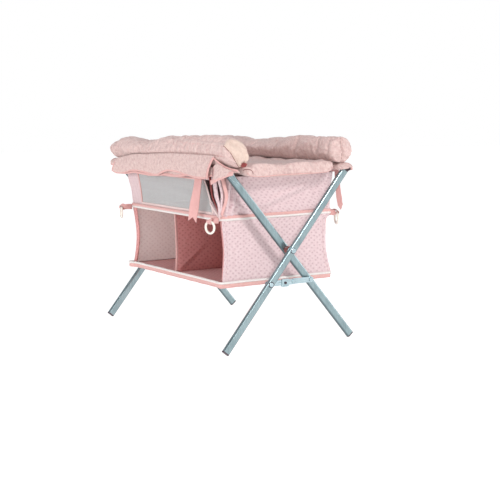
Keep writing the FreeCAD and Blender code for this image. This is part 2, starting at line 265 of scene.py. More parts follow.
def fabric(name, base, dark, light, dots=None, dot_pitch=(9.0, 7.6), weave=0.9, rough=0.9, sheen=0.25,
           blotch=0.35, streak=0.3, streak_dir="u", bump=0.35, puff=0.0, mottle=0.0):
    """Woven cloth: heathered threads, soft blotches, optional printed dots, weave and nap in the bump."""
    m, nodes, links, bsdf = blank(name)
    uv = nodes.new("ShaderNodeTexCoord")
    src = uv.outputs["UV"]
    # heather streaks along the yarn
    mp = nodes.new("ShaderNodeMapping")
    links.new(src, mp.inputs["Vector"])
    mp.inputs["Scale"].default_value = (150, 1500, 1) if streak_dir == "u" else (1500, 150, 1)
    st = nodes.new("ShaderNodeTexNoise")
    st.inputs["Scale"].default_value = 1.0
    st.inputs["Detail"].default_value = 2.0
    links.new(mp.outputs["Vector"], st.inputs["Vector"])
    # large and middling blotches
    bl = nodes.new("ShaderNodeTexNoise")
    bl.inputs["Scale"].default_value = 170.0
    bl.inputs["Detail"].default_value = 3.0
    links.new(src, bl.inputs["Vector"])
    r1 = nodes.new("ShaderNodeMapRange")
    r1.inputs["From Min"].default_value = 0.35
    r1.inputs["From Max"].default_value = 0.68
    links.new(bl.outputs["Fac"], r1.inputs["Value"])
    mix1 = nodes.new("ShaderNodeMix")
    mix1.data_type = "RGBA"
    mix1.inputs["A"].default_value = base
    mix1.inputs["B"].default_value = light
    k1 = nodes.new("ShaderNodeMath")
    k1.operation = "MULTIPLY"
    k1.inputs[1].default_value = blotch
    links.new(r1.outputs["Result"], k1.inputs[0])
    links.new(k1.outputs[0], mix1.inputs["Factor"])
    r2 = nodes.new("ShaderNodeMapRange")
    r2.inputs["From Min"].default_value = 0.42
    r2.inputs["From Max"].default_value = 0.75
    links.new(st.outputs["Fac"], r2.inputs["Value"])
    k2 = nodes.new("ShaderNodeMath")
    k2.operation = "MULTIPLY"
    k2.inputs[1].default_value = streak
    links.new(r2.outputs["Result"], k2.inputs[0])
    mix2 = nodes.new("ShaderNodeMix")
    mix2.data_type = "RGBA"
    links.new(mix1.outputs["Result"], mix2.inputs["A"])
    mix2.inputs["B"].default_value = dark
    links.new(k2.outputs[0], mix2.inputs["Factor"])
    colour = mix2.outputs["Result"]
    if dots is not None:
        mp3 = nodes.new("ShaderNodeMapping")
        links.new(src, mp3.inputs["Vector"])
        mp3.inputs["Scale"].default_value = (1000.0 / dot_pitch[0], 1000.0 / dot_pitch[1], 1)
        mp3.inputs["Rotation"].default_value = (0, 0, math.radians(45))
        vo = nodes.new("ShaderNodeTexVoronoi")
        vo.voronoi_dimensions = "2D"
        vo.inputs["Scale"].default_value = 1.0
        vo.inputs["Randomness"].default_value = 0.3
        links.new(mp3.outputs["Vector"], vo.inputs["Vector"])
        r3 = nodes.new("ShaderNodeMapRange")
        r3.inputs["From Min"].default_value = 0.10
        r3.inputs["From Max"].default_value = 0.34
        r3.inputs["To Min"].default_value = 1.0
        r3.inputs["To Max"].default_value = 0.0
        links.new(vo.outputs["Distance"], r3.inputs["Value"])
        nb = nodes.new("ShaderNodeTexNoise")
        nb.inputs["Scale"].default_value = 260.0
        links.new(src, nb.inputs["Vector"])
        k3 = nodes.new("ShaderNodeMath")
        k3.operation = "MULTIPLY"
        links.new(r3.outputs["Result"], k3.inputs[0])
        links.new(nb.outputs["Fac"], k3.inputs[1])
        mix3 = nodes.new("ShaderNodeMix")
        mix3.data_type = "RGBA"
        links.new(colour, mix3.inputs["A"])
        mix3.inputs["B"].default_value = dots
        links.new(k3.outputs[0], mix3.inputs["Factor"])
        colour = mix3.outputs["Result"]
    if mottle > 0:
        mo = nodes.new("ShaderNodeTexNoise")
        mo.inputs["Scale"].default_value = 150.0
        mo.inputs["Detail"].default_value = 2.0
        mo.inputs["Distortion"].default_value = 0.6
        links.new(src, mo.inputs["Vector"])
        r5 = nodes.new("ShaderNodeMapRange")
        r5.inputs["From Min"].default_value = 0.47
        r5.inputs["From Max"].default_value = 0.66
        r5.inputs["To Max"].default_value = mottle
        links.new(mo.outputs["Fac"], r5.inputs["Value"])
        mix5 = nodes.new("ShaderNodeMix")
        mix5.data_type = "RGBA"
        links.new(colour, mix5.inputs["A"])
        mix5.inputs["B"].default_value = dark
        links.new(r5.outputs["Result"], mix5.inputs["Factor"])
        colour = mix5.outputs["Result"]
    # weave: crossed bands, with nap noise over them
    waves = []
    for axis in ("X", "Y"):
        w = nodes.new("ShaderNodeTexWave")
        w.bands_direction = axis
        w.inputs["Scale"].default_value = 2 * math.pi / (20.0 * weave * MM)
        w.inputs["Distortion"].default_value = 0.6
        w.inputs["Detail"].default_value = 1.0
        links.new(src, w.inputs["Vector"])
        waves.append(w)
    mul = nodes.new("ShaderNodeMath")
    mul.operation = "MULTIPLY"
    links.new(waves[0].outputs["Fac"], mul.inputs[0])
    links.new(waves[1].outputs["Fac"], mul.inputs[1])
    # the weave darkens the colour slightly between threads
    mix4 = nodes.new("ShaderNodeMix")
    mix4.data_type = "RGBA"
    mix4.blend_type = "MULTIPLY"
    mix4.inputs["B"].default_value = (0.9, 0.87, 0.87, 1)
    links.new(colour, mix4.inputs["A"])
    inv = nodes.new("ShaderNodeMapRange")
    inv.inputs["To Min"].default_value = 1.0
    inv.inputs["To Max"].default_value = 0.0
    links.new(mul.outputs[0], inv.inputs["Value"])
    links.new(inv.outputs["Result"], mix4.inputs["Factor"])
    colour = mix4.outputs["Result"]
    links.new(colour, bsdf.inputs["Base Color"])
    nap = nodes.new("ShaderNodeTexNoise")
    nap.inputs["Scale"].default_value = 620.0
    nap.inputs["Detail"].default_value = 3.0
    links.new(src, nap.inputs["Vector"])
    add = nodes.new("ShaderNodeMath")
    add.operation = "ADD"
    links.new(mul.outputs[0], add.inputs[0])
    links.new(nap.outputs["Fac"], add.inputs[1])
    b1 = nodes.new("ShaderNodeBump")
    b1.inputs["Strength"].default_value = bump
    b1.inputs["Distance"].default_value = 0.0004
    links.new(add.outputs[0], b1.inputs["Height"])
    if puff > 0:
        pf = nodes.new("ShaderNodeTexNoise")
        pf.inputs["Scale"].default_value = 95.0
        pf.inputs["Detail"].default_value = 2.5
        pf.inputs["Distortion"].default_value = 0.8
        links.new(src, pf.inputs["Vector"])
        b2 = nodes.new("ShaderNodeBump")
        b2.inputs["Strength"].default_value = puff
        b2.inputs["Distance"].default_value = 0.004
        links.new(pf.outputs["Fac"], b2.inputs["Height"])
        links.new(b2.outputs["Normal"], b1.inputs["Normal"])
    links.new(b1.outputs["Normal"], bsdf.inputs["Normal"])
    rr = nodes.new("ShaderNodeMapRange")
    rr.inputs["To Min"].default_value = rough - 0.08
    rr.inputs["To Max"].default_value = min(1.0, rough + 0.05)
    links.new(bl.outputs["Fac"], rr.inputs["Value"])
    links.new(rr.outputs["Result"], bsdf.inputs["Roughness"])
    bsdf.inputs["Sheen Weight"].default_value = sheen
    bsdf.inputs["Sheen Roughness"].default_value = 0.45
    bsdf.inputs["Specular IOR Level"].default_value = 0.2
    return m


def metal(name, base, dark, rough=0.3, drawn=0.35, low=0.4, turn=0.0, lines=(2600, 60, 60), contrast=0.0):
    """Drawn metal: fine lines along the part, slight clouding, and painted shade that darkens the faces pointing at the
    ground.
    """
    m, nodes, links, bsdf = blank(name)
    tc = nodes.new("ShaderNodeTexCoord")
    mp = nodes.new("ShaderNodeMapping")
    links.new(tc.outputs["Object"], mp.inputs["Vector"])
    mp.inputs["Rotation"].default_value = (math.radians(turn), 0, 0)
    mp.inputs["Scale"].default_value = lines
    fine = nodes.new("ShaderNodeTexNoise")
    fine.inputs["Scale"].default_value = 1.0
    fine.inputs["Detail"].default_value = 2.0
    links.new(mp.outputs["Vector"], fine.inputs["Vector"])
    cl = nodes.new("ShaderNodeTexNoise")
    cl.inputs["Scale"].default_value = 38.0
    cl.inputs["Detail"].default_value = 4.0
    links.new(tc.outputs["Object"], cl.inputs["Vector"])
    mix = nodes.new("ShaderNodeMix")
    mix.data_type = "RGBA"
    mix.inputs["A"].default_value = base
    mix.inputs["B"].default_value = dark
    r = nodes.new("ShaderNodeMapRange")
    r.inputs["From Min"].default_value = 0.45
    r.inputs["From Max"].default_value = 0.8
    r.inputs["To Max"].default_value = drawn
    links.new(cl.outputs["Fac"], r.inputs["Value"])
    links.new(r.outputs["Result"], mix.inputs["Factor"])
    line = nodes.new("ShaderNodeMapRange")
    line.inputs["From Min"].default_value = 0.45
    line.inputs["From Max"].default_value = 0.7
    line.inputs["To Max"].default_value = contrast
    links.new(fine.outputs["Fac"], line.inputs["Value"])
    mixl = nodes.new("ShaderNodeMix")
    mixl.data_type = "RGBA"
    links.new(mix.outputs["Result"], mixl.inputs["A"])
    mixl.inputs["B"].default_value = dark
    links.new(line.outputs["Result"], mixl.inputs["Factor"])
    # painted shade: the base colour is mixed towards a much darker tone as the surface normal turns downwards
    geo = nodes.new("ShaderNodeNewGeometry")
    sep = nodes.new("ShaderNodeSeparateXYZ")
    links.new(geo.outputs["Normal"], sep.inputs["Vector"])
    underside_shade = nodes.new("ShaderNodeMapRange")
    underside_shade.inputs["From Min"].default_value = -0.1
    underside_shade.inputs["From Max"].default_value = -0.6
    underside_shade.inputs["To Min"].default_value = 0.0
    underside_shade.inputs["To Max"].default_value = 1.0 - low
    links.new(sep.outputs["Z"], underside_shade.inputs["Value"])
    mix2 = nodes.new("ShaderNodeMix")
    mix2.data_type = "RGBA"
    links.new(mixl.outputs["Result"], mix2.inputs["A"])
    mix2.inputs["B"].default_value = (dark[0] * 0.3, dark[1] * 0.33, dark[2] * 0.35, 1)
    links.new(underside_shade.outputs["Result"], mix2.inputs["Factor"])
    links.new(mix2.outputs["Result"], bsdf.inputs["Base Color"])
    ro = nodes.new("ShaderNodeMapRange")
    ro.inputs["To Min"].default_value = rough - 0.06
    ro.inputs["To Max"].default_value = rough + 0.12
    links.new(fine.outputs["Fac"], ro.inputs["Value"])
    links.new(ro.outputs["Result"], bsdf.inputs["Roughness"])
    b = nodes.new("ShaderNodeBump")
    b.inputs["Strength"].default_value = 0.08
    b.inputs["Distance"].default_value = 0.0002
    links.new(fine.outputs["Fac"], b.inputs["Height"])
    links.new(b.outputs["Normal"], bsdf.inputs["Normal"])
    bsdf.inputs["Metallic"].default_value = 1.0
    return m


def plastic(name, base, dark, rough=0.35, grain=900.0, bump=0.06, coat=0.0, sub=0.0):
    m, nodes, links, bsdf = blank(name)
    tc = nodes.new("ShaderNodeTexCoord")
    n = nodes.new("ShaderNodeTexNoise")
    n.inputs["Scale"].default_value = grain
    n.inputs["Detail"].default_value = 3.0
    links.new(tc.outputs["Object"], n.inputs["Vector"])
    c = nodes.new("ShaderNodeTexNoise")
    c.inputs["Scale"].default_value = 60.0
    links.new(tc.outputs["Object"], c.inputs["Vector"])
    mix = nodes.new("ShaderNodeMix")
    mix.data_type = "RGBA"
    mix.inputs["A"].default_value = base
    mix.inputs["B"].default_value = dark
    r = nodes.new("ShaderNodeMapRange")
    r.inputs["From Min"].default_value = 0.4
    r.inputs["From Max"].default_value = 0.8
    r.inputs["To Max"].default_value = 0.5
    links.new(c.outputs["Fac"], r.inputs["Value"])
    links.new(r.outputs["Result"], mix.inputs["Factor"])
    links.new(mix.outputs["Result"], bsdf.inputs["Base Color"])
    ro = nodes.new("ShaderNodeMapRange")
    ro.inputs["To Min"].default_value = rough - 0.05
    ro.inputs["To Max"].default_value = rough + 0.1
    links.new(n.outputs["Fac"], ro.inputs["Value"])
    links.new(ro.outputs["Result"], bsdf.inputs["Roughness"])
    b = nodes.new("ShaderNodeBump")
    b.inputs["Strength"].default_value = bump
    b.inputs["Distance"].default_value = 0.0003
    links.new(n.outputs["Fac"], b.inputs["Height"])
    links.new(b.outputs["Normal"], bsdf.inputs["Normal"])
    bsdf.inputs["Coat Weight"].default_value = coat
    bsdf.inputs["Coat Roughness"].default_value = 0.15
    return m


M = {
    "print": fabric("print_fabric", lin(226, 203, 205), lin(198, 164, 170), lin(238, 222, 222),
                    dots=lin(180, 144, 152), blotch=0.6, streak=0.5),
    # pale thin print; its tint and the glow set below paint light coming through it from behind
    "print_backlit_glow": fabric("print_fabric_thin_backlit_glow", lin(240, 229, 224), lin(212, 196, 190), lin(246, 239, 234),
                        dots=lin(212, 192, 188), blotch=0.4, streak=0.4),
    # darker, rosier copy of the print: painted shade for inside faces, bays and floors that sit in shadow
    "lining": fabric("print_fabric_painted_shade", lin(226, 160, 157), lin(198, 122, 121), lin(236, 180, 176),
                     dots=lin(180, 108, 112), blotch=0.5, streak=0.5),
    "mat": fabric("mat_fabric", lin(226, 197, 191), lin(186, 146, 146), lin(240, 221, 215),
                  blotch=0.7, streak=0.5, weave=0.8, sheen=0.2, puff=0.55, bump=0.5, mottle=0.4),
    "mat_end": fabric("mat_fabric_plain", lin(222, 200, 186), lin(204, 170, 158), lin(240, 222, 210),
                      blotch=0.4, streak=0.25, weave=0.7, sheen=0.25, puff=0.25, bump=0.3, mottle=0.3),
    "bind": fabric("binding", lin(228, 180, 175), lin(202, 142, 139), lin(238, 198, 193),
                   blotch=0.4, streak=0.35, weave=0.6, sheen=0.25),
    "ribbon": fabric("ribbon", lin(228, 176, 172), lin(200, 138, 136), lin(238, 194, 190),
                     blotch=0.4, streak=0.3, streak_dir="v", weave=0.7, sheen=0.4, rough=0.7),
    "piping": fabric("piping", lin(238, 234, 230), lin(206, 198, 194), lin(250, 249, 247),
                     blotch=0.3, streak=0.3, weave=0.6, sheen=0.2),
    # dark rose cloth put where the corner and tuck hollows fall into shade: painted shade
    "tuck": fabric("tuck_lining", lin(158, 84, 82), lin(120, 56, 56), lin(178, 100, 98), weave=0.6, sheen=0.1),
    # dark cord colour laid in seams and folds: painted shade of the groove
    "seam": fabric("seam_groove_shade", lin(128, 84, 82), lin(96, 58, 58), lin(150, 104, 100), weave=0.3, sheen=0.1),
    "net": fabric("mesh", lin(238, 240, 240), lin(212, 214, 214), lin(246, 247, 247),
                  blotch=0.3, streak=0.3, weave=0.4, sheen=0.3),
    "thread": fabric("thread", lin(214, 160, 158), lin(190, 130, 130), lin(226, 180, 176), weave=0.3, sheen=0.3),
    "thread_pale": fabric("thread_pale", lin(238, 216, 212), lin(212, 184, 182), lin(244, 230, 226), weave=0.3, sheen=0.3),
    "tube_outer": metal("tube_outer", lin(158, 177, 181), lin(96, 116, 122), rough=0.27, turn=39.56, lines=(1500, 1500, 22), contrast=0.45, low=0.25),
    "tube_inner": metal("tube_inner", lin(154, 174, 178), lin(92, 112, 118), rough=0.27, turn=-39.56, lines=(1500, 1500, 22), contrast=0.45, low=0.25),
    "tube": metal("tube", lin(158, 177, 181), lin(96, 116, 122), rough=0.28, lines=(22, 1500, 1500), contrast=0.45, low=0.25),
    "steel": metal("steel", lin(186, 206, 212), lin(112, 134, 142), rough=0.2, lines=(900, 60, 900), contrast=0.5, low=0.2),
    "dark": plastic("dark_plastic", lin(72, 56, 64), lin(46, 34, 40), rough=0.45, bump=0.15),
    "spacer": plastic("spacer_plastic", lin(122, 66, 62), lin(84, 38, 36), rough=0.4),
    "ring": plastic("ring", lin(236, 229, 219), lin(218, 207, 196), rough=0.22, bump=0.03, coat=0.3),
}


# painted light: the far end's inner print glows faintly, standing in for studio light shining through the thin cloth
M["print_backlit_glow"].node_tree.nodes["Principled BSDF"].inputs["Emission Color"].default_value = (1.0, 0.92, 0.89, 1)
M["print_backlit_glow"].node_tree.nodes["Principled BSDF"].inputs["Emission Strength"].default_value = 0.16


def skin(o, key):
    o.data.materials.clear()
    o.data.materials.append(M[key])
    return o


PIECES = []


def put(o, key, body="fabric_box", replaces=(), squash=True, deep=True):
    """Material, body, slot, the CAD nodes it stands for, and the share of depth kept when folded, listed in PIECES."""
    if body == "fabric_box" and deep:
        # the cloth box stands a little further back than its board, easing off up the tub
        c = np.zeros(len(o.data.vertices) * 3)
        o.data.vertices.foreach_get("co", c)
        c = c.reshape(-1, 3) / MM
        low = curve(c[:, 2], [133, 150, 181, 220, 240, 248, 253, 257], [14, 12.5, 10, 7.5, 4.6, 4.6, 9, 14])
        back = np.where(c[:, 2] < 262, low, 14.0 * (1 - np.clip((c[:, 2] - 268) / 75, 0, 1)))
        c[:, 1] += back * np.clip((c[:, 1] + 125) / 250, 0, 1.05)
        o.data.vertices.foreach_set("co", (c * MM).ravel())
        o.data.update()
    if key:
        skin(o, key)
    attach(o, body)
    if replaces:
        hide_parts(*replaces)
    if squash:
        PIECES.append((o, SQ["pad"] if "pad_" in o.name else SQ.get(body, SQ["fabric_box"])))
    return o


def area_of(o, layers=2):
    return sum(p.area for p in o.data.polygons) / layers


# ------------------------------------------------------------------ CAD nodes kept as they are
for name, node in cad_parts.items():
    if "outer_leg_" in name:
        key = "tube_outer"
    elif "inner_leg_" in name:
        key = "tube_inner"
    elif name in ("rear_rail", "front_rail"):
        key = "tube"
    elif "foot_plug" in name:
        key = "dark"
    elif "elbow" in name:
        key = "dark"
    elif "pivot_spacer" in name:
        key = "spacer"
    else:
        key = "steel"
    if not node.data.materials:
        node.data.materials.append(M[key])
    for s in node.material_slots:
        s.material = M[key]

# ------------------------------------------------------------------ storage box


def wavy_hoop(hx, hy, r, z, amp, seed, side=60, arc=8, ear=0.0):
    p = rrect(hx, hy, r, side, arc)
    out = []
    for x, y in p:
        n = nz(x * 0.013, y * 0.013, 0.3, seed)
        k = nz(x * 0.013 + 5, y * 0.013, 0.9, seed)
        d = unit([x / hx, y / hy])
        e1 = ear * math.exp(-((x + hx) ** 2 + (y + hy) ** 2) / 15.0 ** 2)
        e2 = ear * math.exp(-((x - hx) ** 2 + (y + hy) ** 2) / 15.0 ** 2)
        out.append((x + d[0] * amp * k * 0.7 - 6 * e1 + 3 * e2, y + d[1] * amp * k * 0.7 - 11 * e1 - 4 * e2, z + amp * n))
    return np.array(out)


def floor_top(x, y):
    """Top surface of the storage floor: nearly flat, with a slightly raised board in each bay."""
    inb = step(3.5, 7, abs(x)) * step(196, 192, abs(x)) * step(118, 114, abs(y))
    return 132.0 + 0.75 * inb + 0.25 * nz(x * 0.02, y * 0.02, 0, 3)


def storage_floor():
    xs = np.concatenate([np.linspace(-201, -190, 7), np.linspace(-186, -8, 40), np.linspace(-6, 6, 8),
                         np.linspace(8, 186, 40), np.linspace(190, 201, 7)])
    ys = np.concatenate([np.linspace(-125, -112, 7), np.linspace(-108, 108, 40), np.linspace(112, 125, 7)])
    top = np.zeros((len(xs), len(ys), 3))
    for i, x in enumerate(xs):
        for j, y in enumerate(ys):
            # round the corners of the board
            cx, cy = max(abs(x) - 193, 0), max(abs(y) - 117, 0)
            k = 1.0
            d = math.hypot(cx, cy)
            if d > 8:
                k = 8 / d
            px = math.copysign(min(abs(x), 193) + cx * k, x)
            py = math.copysign(min(abs(y), 117) + cy * k, y)
            top[i, j] = (px, py, floor_top(x, y))
    UV = [[(x, y) for y in ys] for x in xs]
    o = grid("storage_floor_board", top, UV)
    solid(o, 4.0, -1.0)
    # the board takes the shaded print copy: painted shade in the bays
    put(o, "lining", replaces=("storage_floor",))


storage_floor()

# outer edge of the floor: bound tape with a soft bulge
P = wavy_hoop(201.9, 125.9, 9, 127.2, 0.35, 1, side=70, ear=1.0)
o = sweep("floor_edge_tape", P, lambda i, s: oval(1.3, 4.4 + 0.25 * math.sin(i * 0.7), 14, 0.7), closed=True)
put(o, "bind", replaces=("floor_binding",))
P2 = wavy_hoop(203.3, 127.3, 10, 124.6, 0.3, 1, side=70, ear=1.0)
d = unit(np.c_[P2[:, 0] / 203, P2[:, 1] / 127, np.zeros(len(P2))])
o = thread("floor_edge_stitch", P2, d, 4.2, 2.8, 0.26)
put(o, "thread")
P = wavy_hoop(203.2, 127.2, 10.2, 133.6, 0.4, 2, side=70, ear=1.0)
o = sweep("floor_piping_cord", P, lambda i, s: oval(2.5, 2.5, 12) * (1 + 0.05 * nz(i * 0.5, 0, 0, 4)), closed=True)
put(o, "piping", replaces=("floor_piping",))


def end_wall(name, sx, key_out, key_in, node, seed):
    """One end of the storage box: a hung panel whose front and back edges pull in at mid height."""
    ny, nzr = 90, 54
    P = np.zeros((ny, nzr, 3))
    UV = []
    for i in range(ny):
        row = []
        u = i / (ny - 1)
        for j in range(nzr):
            t = j / (nzr - 1)
            z = 132.9 + t * (259.0 - 132.9)
            waist = 6.0 * math.sin(math.pi * t) ** 1.2
            half = 123.5 - waist
            y = -half + 2 * half * u
            e = min(u, 1 - u)
            x = 200.6 - 2.6 * math.sin(math.pi * t) * (1 - 0.3 * abs(2 * u - 1))
            # slack: soft vertical pulls from the corners, plus small ripples
            x += 0.9 * nz(y * 0.02, z * 0.012, 0, seed)
            x += 1.1 * nz(y * 0.05 + z * 0.02, z * 0.01, 2, seed) * (0.35 + 0.65 * abs(2 * t - 1))
            # diagonal draws running in from the four corners
            for cy, cz in ((-1, 0), (1, 0), (-1, 1), (1, 1)):
                a = (y * cy) / 123.5
                b = (z - 196) / 63.0 * (1 if cz else -1)
                along = (a + b) / 2
                across = (a - b) * 60
                x += 1.3 * math.exp(-(across / 9.0) ** 2) * max(0, along - 0.35) * 1.5
            P[i, j] = (sx * x, y, z)
            row.append((y, z))
        UV.append(row)
    o = grid(name, P, UV)
    solid(o, 1.6, 0.0)
    # two sides of one cloth: print outside; the inner side takes key_in, a copy of the print whose colour paints light:
    # darker rosier painted shade on the near end, painted backlit glow on the far end
    o.data.materials.clear()
    o.data.materials.append(M[key_out])
    o.data.materials.append(M[key_in])
    for p in o.data.polygons:
        if p.normal.x * sx < -0.2:
            p.material_index = 1
    put(o, None, replaces=(node,))
    # bound vertical edges
    for u, lab in ((0, "front"), (ny - 1, "rear")):
        path = P[u].copy()
        sgn = -1 if u == 0 else 1
        path[:, 1] += sgn * -3.2
        b = sweep("%s_%s_edge_hem" % (name, lab), path, lambda i, s: oval(1.4, 4.0, 14, 0.6), up=(0, sgn, 0))
        # the far end's hems take the shaded print copy: painted shade
        put(b, "print" if sx > 0 else "lining")
        q = P[u * 1].copy()
        q[:, 1] -= sgn * 6.0
        q[:, 0] += sx * 1.35
        t = thread("%s_%s_edge_stitch" % (name, lab), q, np.tile([sx, 0, 0], (len(q), 1)), 3.6, 2.4, 0.2)
        put(t, "thread")
    return P


end_wall("storage_end_right", 1, "print", "lining", "storage_wall_right", 11)
end_wall("storage_end_left", -1, "print", "print_backlit_glow", "storage_wall_left", 12)


def back_wall():
    nx, nzr = 120, 44
    P = np.zeros((nx, nzr, 3))
    UV = []
    for i in range(nx):
        u = i / (nx - 1)
        row = []
        for j in range(nzr):
            t = j / (nzr - 1)
            z = 132.9 + t * 126.1
            half = 200.2 - 2.6 * math.sin(math.pi * t)
            x = -half + 2 * half * u
            y = 124.8 - 2.8 * math.sin(math.pi * t) * (1 - 0.4 * abs(math.cos(math.pi * u * 2)))
            y -= 5.2 * math.sin(math.pi * t) ** 1.2 * math.exp(-((half - abs(x)) / 26.0) ** 2)
            y += 0.8 * nz(x * 0.02, z * 0.015, 1, 21) + 0.8 * nz(x * 0.06, z * 0.012, 1, 22) * abs(2 * t - 1)
            P[i, j] = (x, y, z)
            row.append((x, z))
        UV.append(row)
    o = grid("storage_back", P, UV)
    solid(o, 1.6, 0.0)
    # the inner side takes the shaded print copy: painted shade inside the box
    o.data.materials.clear()
    o.data.materials.append(M["print"])
    o.data.materials.append(M["lining"])
    for p in o.data.polygons:
        if p.normal.y < -0.2:
            p.material_index = 1
    put(o, None, replaces=("storage_wall_back",))
    for u, sg in ((0, -1), (nx - 1, 1)):
        path = P[u].copy()
        path[:, 0] -= sg * 1.4
        b = sweep("storage_back_edge_%s" % ("left" if u == 0 else "right"), path, lambda i, s: oval(1.4, 2.4, 10, 0.75), up=(sg, 0, 0))
        put(b, "bind")


back_wall()


def divider():
    ny, nzr = 84, 50
    P = np.zeros((ny, nzr, 3))
    UV = []
    for i in range(ny):
        u = i / (ny - 1)
        row = []
        for j in range(nzr):
            t = j / (nzr - 1)
            y = -123.5 + 245 * u + 2.5 * math.sin(math.pi * t) * (1 - u) * (1 if u < 0.5 else 0)
            z = 132.9 + t * 125.6
            x = 1.2 * nz(y * 0.018, z * 0.016, 4, 31)
            # diagonal pull up and back from the front lower corner
            a = (y + 118) * 0.62 - (z - 138) * 0.78
            along = (y + 118) * 0.78 + (z - 138) * 0.62
            x += 2.4 * math.exp(-(a / 5.0) ** 2) * step(0, 12, along) * step(95, 45, along)
            x -= 1.6 * math.exp(-((a - 10) / 7.0) ** 2) * step(0, 12, along) * step(95, 45, along)
            x += 0.6 * nz(y * 0.06, z * 0.02, 4, 33) * abs(2 * t - 1)
            P[i, j] = (x, y, z)
            row.append((y, z))
        UV.append(row)
    o = grid("storage_middle_panel", P, UV)
    solid(o, 1.6, 0.0)
    # the middle panel takes the shaded print copy: painted shade inside the box
    put(o, "lining", replaces=("storage_divider",))
    path = P[0].copy()
    path[:, 1] += 1.2
    b = sweep("middle_panel_edge_tape", path, lambda i, s: oval(1.5, 2.6, 12, 0.75), up=(0, -1, 0))
    put(b, "bind")


divider()

# front return strips: the narrow hems either side of the open front
for sx, lab, wid0, wid1 in ((-1, "left", 15.0, 8.0), (1, "right", 5.0, 4.0)):
    nxx, nzr = 8, 40
    P = np.zeros((nxx, nzr, 3))
    UV = []
    for i in range(nxx):
        u = i / (nxx - 1)
        row = []
        for j in range(nzr):
            t = j / (nzr - 1)
            z = 134.0 + t * 124.0
            w = wid1 + (wid0 - wid1) * t
            edge_x = 200.0 - 2.6 * math.sin(math.pi * t)
            yy = -123.8 + 6.0 * math.sin(math.pi * t) ** 1.2
            x = edge_x - u * w
            P[i, j] = (sx * x, yy + 0.5 * nz(x * 0.1, z * 0.03, 1, 35) + u * 0.8, z)
            row.append((x, z))
        UV.append(row)
    o = grid("front_return_%s" % lab, P, UV)
    solid(o, 1.2, 0.0)
    # the strips take the shaded print copy: painted shade at the open front
    put(o, "lining")

# rim: white piping with a pink band above it
P = wavy_hoop(202.0, 126.0, 9, 260.6, 0.7, 5, side=80)
o = sweep("rim_cord", P, lambda i, s: oval(2.9, 2.9, 12) * (1 + 0.05 * nz(i * 0.5, 0, 0, 6)), closed=True)
put(o, "piping", replaces=("rim_piping",))
P = wavy_hoop(203.4, 127.4, 10.6, 265.4, 0.8, 5, side=80)
o = sweep("rim_band", P, lambda i, s: oval(1.7, 2.9 + 0.3 * nz(i * 0.3, 0, 0, 7), 14, 0.8), closed=True)
put(o, "bind", replaces=("rim_binding",))
P2 = wavy_hoop(205.0, 129.0, 12, 265.2, 0.8, 5, side=80)
d = unit(np.c_[P2[:, 0] / 203, P2[:, 1] / 127, np.zeros(len(P2))])
o = thread("rim_stitch", P2, d, 4.2, 2.8, 0.24)
put(o, "thread")

# ------------------------------------------------------------------ tub
TZ0, TZ1 = 263.2, 347.2
WX_L = (-151.0, -160.0)      # window's left edge, at its bottom and top
WX_R = (171.0, 144.0)        # window's right edge
WT0, WT1 = 0.10, 0.90


def tub_size(t):
    return 201.2 + 28.8 * t, 125.2 + 5.8 * t, 8 + 6 * t


def window_x(t):
    k = min(max((t - WT0) / (WT1 - WT0), -0.12), 1.12)
    return WX_L[0] + (WX_L[1] - WX_L[0]) * k, WX_R[0] + (WX_R[1] - WX_R[0]) * k


SLIT_T = 0.22


def tub_row(t):
    """Points of the tub wall at one height, with their outward normals and tags."""
    a, b, r = tub_size(t)
    xl, xr = window_x(t)
    pts = []

    def seg(p0, p1, n, cols, tag, last=False):
        for k in range(cols + (1 if last else 0)):
            s = k / cols
            pts.append((p0[0] + (p1[0] - p0[0]) * s, p0[1] + (p1[1] - p0[1]) * s, n[0], n[1], tag))

    def arc(cx, cy, a0, cols, tag):
        for k in range(cols):
            an = math.radians(a0 + 90.0 * k / cols)
            pts.append((cx + r * math.cos(an), cy + r * math.sin(an), math.cos(an), math.sin(an), tag))

    seg((xl, -b), (xr, -b), (0, -1), 90, "window")
    seg((xr, -b), (a - r, -b), (0, -1), 26, "front_right")
    arc(a - r, -b + r, -90, 14, "corner_fr")
    seg((a, -b + r), (a, -70), (1, 0), 26, "right_front")
    seg((a, -70), (a, 80), (1, 0), 50, "right")
    seg((a, 80), (a, b - r), (1, 0), 16, "right_rear")
    arc(a - r, b - r, 0, 10, "corner_br")
    seg((a - r, b), (-a + r, b), (0, 1), 100, "back")
    arc(-a + r, b - r, 90, 10, "corner_bl")
    seg((-a, b - r), (-a, -b + r), (-1, 0), 70, "left")
    arc(-a + r, -b + r, 180, 10, "corner_fl")
    seg((-a + r, -b), (xl, -b), (0, -1), 18, "front_left")
    return pts


def crease(y, z, p0, p1, width, height, side=1.0):
    """A drape fold along a line in the end panel's (y, z) plane: a ridge with a valley beside it."""
    d = np.array(p1, float) - np.array(p0, float)
    L = np.linalg.norm(d)
    d /= L
    q = np.array([y, z]) - np.array(p0, float)
    al = float(q @ d)
    ac = float(q[0] * d[1] - q[1] * d[0]) * side
    env = float(step(-10, 22, al) * step(L + 14, L - 18, al))
    return height * env * (math.exp(-(ac / width) ** 2) - 0.75 * math.exp(-((ac + 1.5 * width) / (1.1 * width)) ** 2))


